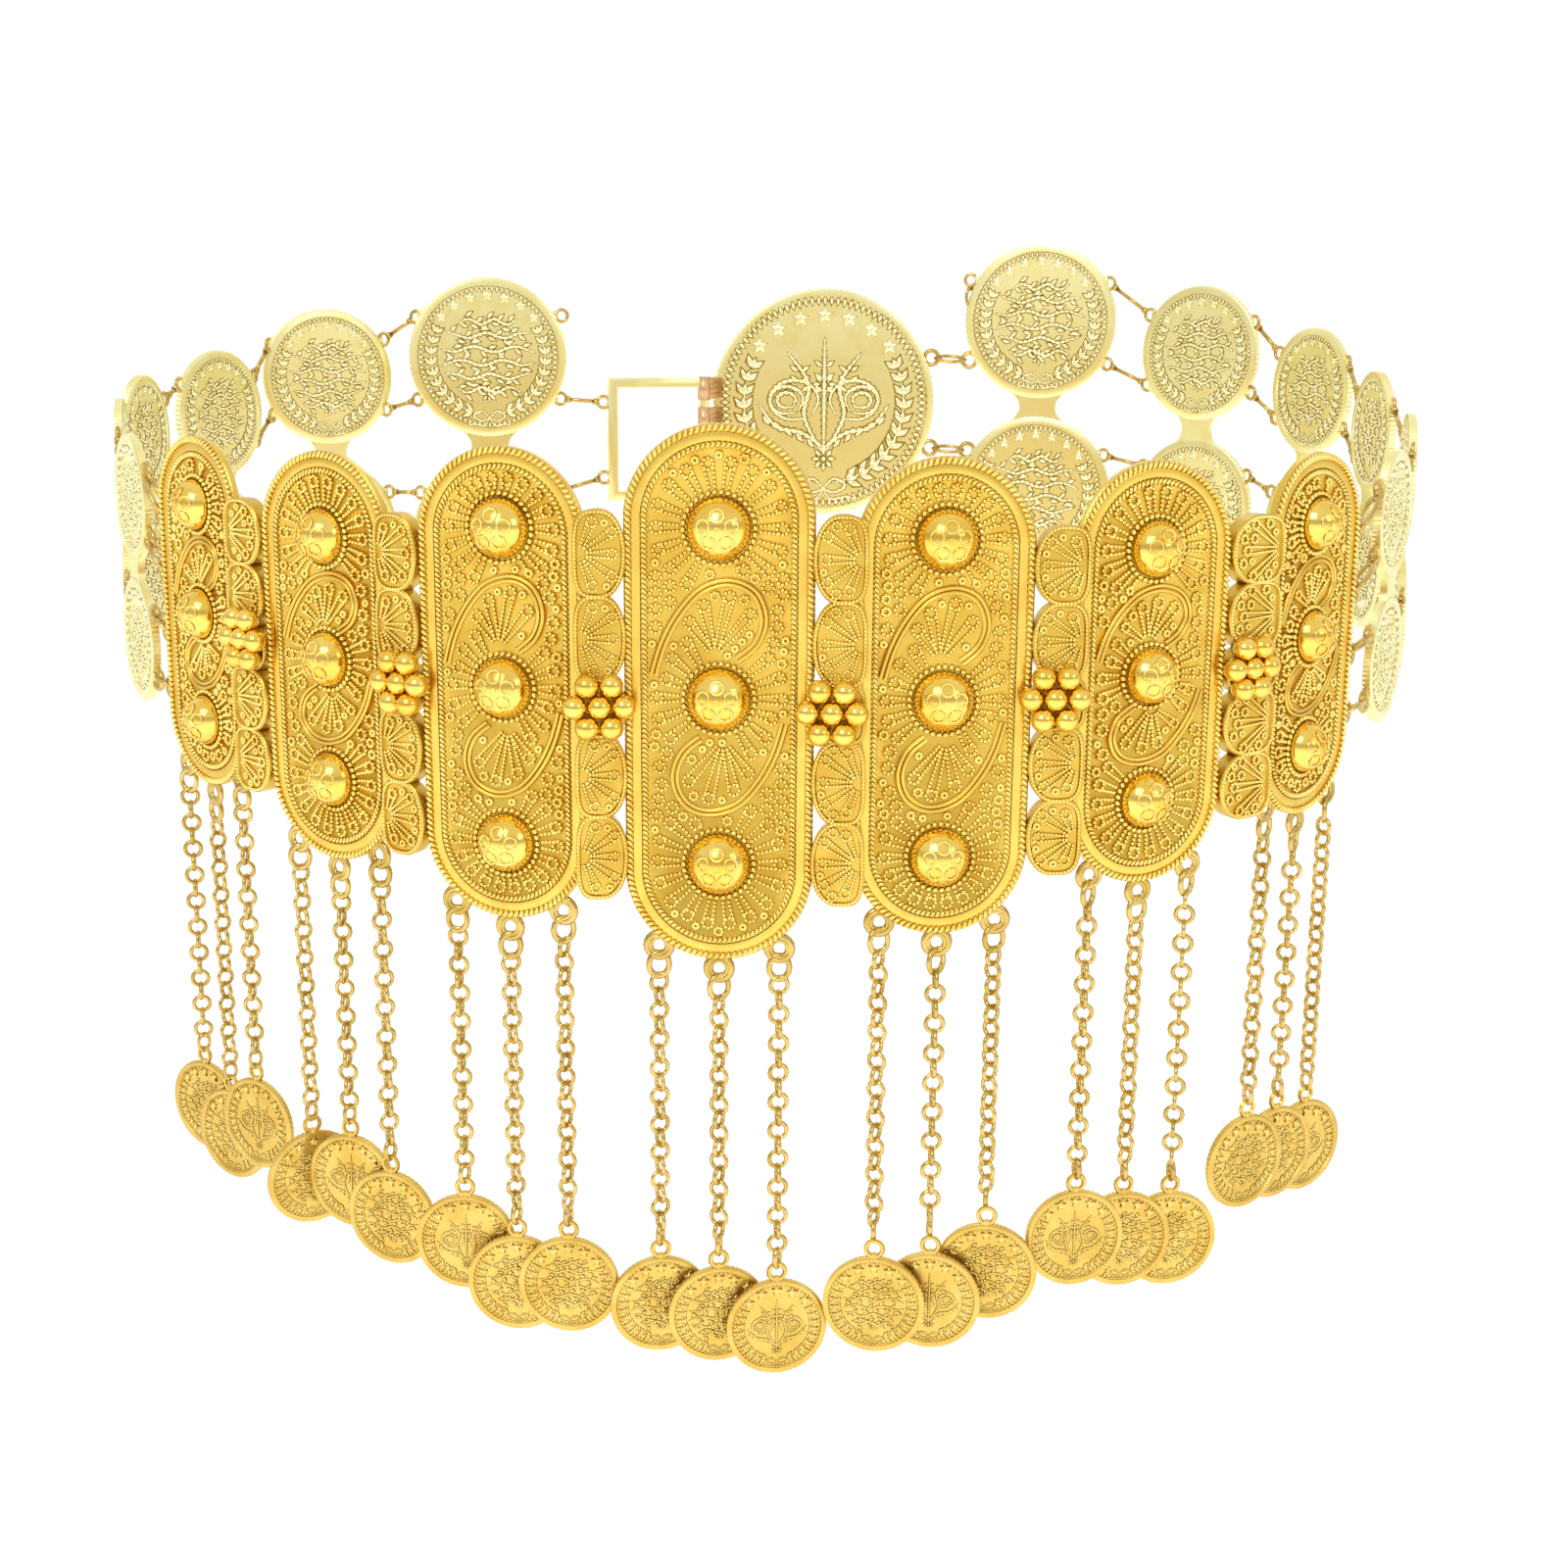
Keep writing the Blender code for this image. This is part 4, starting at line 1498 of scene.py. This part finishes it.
def joint_rows(kind: Kind, size: str) -> list[tuple[float, float]]:
    """Heights of the rings on a piece's side, with the distance out to its edge there.

    Args:
        kind: What the piece is.
        size: Its size name.

    Returns:
        Rows of height and distance.
    """
    if kind is Kind.PLATE:
        reach = PLATE_SIZES[size].boss_pitch * MM * 0.8
        return [(z, PLATE_SIZES[size].width * MM / 2) for z in (reach, reach / 3, -reach / 3, -reach)]
    if kind is Kind.LINK:
        coin, height = (v * MM for v in LINK_SIZES[size])
        half, step = (height - coin) / 2, coin * 0.26
        edge = math.sqrt((coin / 2) ** 2 - step ** 2)
        return [(z, edge) for z in (half + step, half - step, step - half, -half - step)]
    if kind is Kind.FRAME:
        return [(z * FRAME_HEIGHT, FRAME_WIDTH / 2) for z in (0.3, -0.3)]
    edge = math.sqrt((DISC_WIDTH / 2) ** 2 - (DISC_WIDTH * 0.2) ** 2)
    return [(z * DISC_WIDTH, edge) for z in (0.2, -0.2)]


@dataclass
class WireLinks:
    """The wires from one station to the next: eyed bars, or long oval rings beside a plate."""

    index: int
    kit: Kit
    wire: float = 1.15 * MM
    eye_seat: float = 1.2 * MM
    bar_seat: float = 1.7 * MM
    shortest: float = 4.0 * MM

    def build(self) -> None:
        """Make each wire between the two rows of rings."""
        other = (self.index + 1) % len(STATIONS)
        kinds = {STATIONS[self.index].kind, STATIONS[other].kind}
        here = joint_rows(STATIONS[self.index].kind, STATIONS[self.index].size)
        there = joint_rows(STATIONS[other].kind, STATIONS[other].size)
        if len(here) != len(there):
            here = here if len(here) == 2 else here[1:3]
            there = there if len(there) == 2 else there[1:3]
        back = place_of(self.index).inverted() @ place_of(other)
        piece = Assembly(f"{STATIONS[self.index].name}_wires")
        for (z, edge), (far_z, far_edge) in zip(here, there):
            start = Vector((edge, 0, z))
            end = back @ Vector((-far_edge, 0, far_z))
            if Kind.PLATE in kinds or Kind.DISC in kinds:
                self.ovals(piece, start, end)
            else:
                self.bar(piece, start, end)
        piece.build(place_of(self.index), Finish.CHAIN)

    def bar(self, piece: Assembly, start: Vector, end: Vector) -> None:
        """An eye at each end with a straight wire between them."""
        run = (end - start).normalized()
        first, last = start + run * self.eye_seat, end - run * self.eye_seat
        turn = Matrix.Rotation(math.atan2(run.y, run.x), 4, "Z")
        for spot in (first, last):
            piece.put(self.kit.eye, Matrix.Translation(spot) @ turn)
        if (last - first).length < self.shortest:
            return
        a, b = first + run * self.bar_seat, last - run * self.bar_seat
        piece.put(self.kit.rod, between(a, b, self.wire))
        for spot, sign in ((a, 1), (b, -1)):
            piece.put(self.kit.rod, between(spot, spot + run * sign * 1.0 * MM, self.wire * 1.6))

    def ovals(self, piece: Assembly, start: Vector, end: Vector) -> None:
        """A round ring on each side, held together by a long oval."""
        run = end - start
        turn = run.to_track_quat("X", "Z").to_matrix().to_4x4()
        stretch = max(run.length * 0.62 / (3.8 * MM), 1.0)
        for k, long, round_size, tip in ((0.12, 1.25, 1.25, 0.0), (0.88, 1.25, 1.25, 0.0),
                                         (0.5, stretch, 1.0, 1.1)):
            piece.put(self.kit.eye, Matrix.Translation(start + run * k) @ turn
                      @ Matrix.Rotation(tip, 4, "X") @ grown(long, round_size, round_size))


@dataclass
class Clasp:
    """The large disc and the open frame that its tabs hook round."""

    kit: Kit
    tab_row: float = 4.2 * MM
    tab_wire: float = 1.4 * MM

    def build(self) -> None:
        """Make the disc, the frame and the copper tabs."""
        disc_index = len(STATIONS) - 1
        coin = Coin(DISC_WIDTH / 2, 2.2 * MM, DISC_STYLE, self.kit)
        disc, relief = Assembly("clasp_disc_coin"), Relief("clasp_disc", Finish.PALE_RELIEF)
        disc.put(coin.blank(), Matrix())
        coin.strike(relief, Matrix())
        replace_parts(rounded(disc.build(place_of(disc_index), Finish.PALE)), "clasp_disc")
        relief.build(place_of(disc_index))
        self.frame()
        self.tabs(disc_index)

    def frame(self) -> None:
        """A flat bar bent into an upright oblong."""
        bpy.ops.object.select_all(action="DESELECT")
        bpy.ops.mesh.primitive_cube_add(size=1.0, scale=(FRAME_WIDTH, 2.0 * MM, FRAME_HEIGHT))
        frame = added("clasp_frame_bars")
        pick_faces(frame, lambda face: abs(face.normal.y) > 0.9)
        bpy.ops.mesh.inset(thickness=FRAME_BAR)
        bpy.ops.mesh.bridge_edge_loops()
        bpy.ops.object.mode_set(mode="OBJECT")
        edge = frame.modifiers.new("edge", "BEVEL")
        edge.width = 0.35 * MM
        edge.segments = 2
        select_only(frame)
        bpy.ops.object.modifier_apply(modifier=edge.name)
        frame.data.transform(place_of(0))
        dress(rounded(frame), Finish.PALE)
        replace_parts(frame, "clasp_frame")

    def tabs(self, disc_index: int) -> None:
        """Two copper-toned straps from the disc round the near bar of the frame."""
        place = place_of(disc_index)
        target = place.inverted() @ place_of(0)
        straps = Assembly("clasp_tabs")
        for z in (-self.tab_row, self.tab_row):
            start = Vector((DISC_WIDTH / 2 - 2.6 * MM, 0, z))
            end = target @ Vector((-FRAME_WIDTH / 2 + FRAME_BAR / 2, 0, 0))
            end.z = z
            for across in (-1.5, -0.5, 0.5, 1.5):
                shift = Vector((0, 0, across * self.tab_wire))
                straps.put(self.kit.rod, between(start + shift, end + shift, 1.9 * MM))
            reach = Vector((0, 0, 3.2 * MM))
            straps.put(self.kit.rod, between(end - reach, end + reach, 3.6 * MM))
        straps.build(place, Finish.COPPER)


@dataclass(frozen=True)
class Studio:
    """Camera, lamps and the plain white sweep."""

    lens_px: float = 2170.0
    frame_px: float = 1600.0
    pitch: float = math.radians(13.09)
    roll: float = math.radians(0.46)
    eye: Point = (0.006, -0.5041, 0.0520)
    floor_drop: float = 0.16
    rise_from: float = 0.9

    def camera(self) -> None:
        """Set the camera at the photograph's angle."""
        data = bpy.data.cameras.new("camera")
        data.sensor_width = 36.0
        data.lens = 36.0 * self.lens_px / self.frame_px
        data.clip_start = 0.01
        obj = bpy.data.objects.new("camera", data)
        look = Matrix.Rotation(math.pi / 2 - self.pitch, 4, "X") @ Matrix.Rotation(self.roll, 4, "Z")
        obj.matrix_world = Matrix.Translation(self.eye) @ look
        bpy.context.scene.collection.objects.link(obj)
        bpy.context.scene.camera = obj

    def lamp(self, name: str, spot: Point, size: float, power: float) -> None:
        """A square soft lamp that looks at the belt.

        Args:
            name: Its name.
            spot: Its place.
            size: Its side.
            power: Its power in watts.
        """
        data = bpy.data.lights.new(name, "AREA")
        data.size = size
        data.energy = power
        obj = bpy.data.objects.new(name, data)
        obj.location = spot
        obj.rotation_euler = (Vector((0, 0, -0.02)) - Vector(spot)).to_track_quat("-Z", "Y").to_euler()
        bpy.context.scene.collection.objects.link(obj)

    def sweep(self) -> None:
        """A white floor that curves up into a back wall and glows, brightest in front and dimmer towards the
        wall: painted light for the gold to mirror.
        """
        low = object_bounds()[0][2] - self.floor_drop
        bpy.ops.object.select_all(action="DESELECT")
        bpy.ops.mesh.primitive_plane_add(size=12.0, location=(0, 0, low))
        floor = added("floor")
        pick_faces(floor, lambda face: True)
        bpy.ops.mesh.subdivide(number_cuts=60)
        bpy.ops.object.mode_set(mode="OBJECT")
        for vertex in floor.data.vertices:
            vertex.co.z += 0.8 * max(vertex.co.y - self.rise_from, 0.0) ** 2
        mat = bpy.data.materials.new("white_sweep")
        mat.use_nodes = True
        nodes = Nodes(mat.node_tree)
        where = nodes.add("ShaderNodeTexCoord", output="Object")
        depth = nodes.add("ShaderNodeSeparateXYZ", inputs={0: where}, output="Y")
        glow = nodes.add("ShaderNodeValToRGB", {"stops": [(0.0, (1, 1, 1, 1)), (1.0, (0.35, 0.35, 0.35, 1))]},
                         {0: depth * 2.2 + 0.77})
        shader = nodes.add("ShaderNodeBsdfPrincipled", inputs={
            "Base Color": (0.9, 0.9, 0.9, 1.0), "Roughness": 0.9, "Emission Color": glow,
            "Emission Strength": 0.62})
        nodes.add("ShaderNodeOutputMaterial", inputs={"Surface": shader})
        floor.data.materials.append(mat)
        floor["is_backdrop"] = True

    def sky(self) -> None:
        """A white surround that dims in bands, so that polished gold has something to mirror."""
        world = bpy.data.worlds.new("surround")
        bpy.context.scene.world = world
        world.use_nodes = True
        nodes = Nodes(world.node_tree)
        way = nodes.add("ShaderNodeTexCoord", output="Generated")
        parts = nodes.add("ShaderNodeSeparateXYZ", inputs={0: way}, output="Z")
        tone = nodes.add("ShaderNodeValToRGB", {"stops": [
            (0.0, (0.9, 0.9, 0.9, 1)), (0.5, (0.9, 0.9, 0.9, 1)), (0.6, (0.62, 0.62, 0.62, 1)),
            (0.7, (0.95, 0.95, 0.95, 1)), (1.0, (1, 1, 1, 1))]},
            {0: parts * 0.5 + 0.5})
        back = nodes.add("ShaderNodeBackground", inputs={"Color": tone, "Strength": 0.97})
        nodes.add("ShaderNodeOutputWorld", inputs={"Surface": back})

    def build(self) -> None:
        """Set up the whole studio."""
        self.camera()
        self.lamp("key", (-0.4, -1.0, 0.8), 0.55, 4.9)
        self.lamp("fill", (0.8, -0.7, 0.4), 0.35, 0.8)
        self.lamp("rim", (0.2, 0.9, 0.8), 0.5, 0.4)
        self.sweep()
        self.sky()
        bpy.context.scene.view_settings.view_transform = "Standard"


def drop_tops(size: PlateSize) -> list[tuple[float, float]]:
    """Where a plate's three drops hang: sideways place and the edge's height there."""
    r = size.width / 2
    rows = []
    for i in (-1, 0, 1):
        x = i * size.drop_pitch
        rows.append((x * MM, -(size.height / 2 - r + math.sqrt(r * r - x * x)) * MM))
    return rows


def main() -> None:
    """Build the belt in order round the waist, then the studio."""
    kit = Kit.make()
    for index, station in enumerate(STATIONS):
        place = place_of(index)
        following = STATIONS[(index + 1) % len(STATIONS)]
        if station.kind is Kind.PLATE:
            size = PLATE_SIZES[station.size]
            Plate(station.name, size, place, kit).build()
            drops = DROPS[station.name]
            stem = station.name.replace("plate", "drop")
            for number, (x, edge) in enumerate(drop_tops(size)):
                style = SMALL_STYLE if (index + number) % 3 else SMALL_EMBLEM
                twist = math.radians((index * 3 + number) * 37 % 90)
                Drop(f"{stem}_{number + 1}", x, edge, drops.lengths[number] * MM,
                     math.radians(drops.turns[number]), drops.lift * MM, place, kit, style, twist).build()
            if following.kind is Kind.PLATE:
                Connector(station.name.replace("plate", "connector"), index, kit).build()
                continue
        if station.kind is Kind.LINK:
            DoubleLink(index, kit).build()
        if station.kind is not Kind.DISC:
            WireLinks(index, kit).build()
    Clasp(kit).build()
    Studio().build()


if __name__ == "__main__":
    logging.basicConfig(level=logging.INFO, format="%(name)s: %(message)s")
    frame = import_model()
    main()
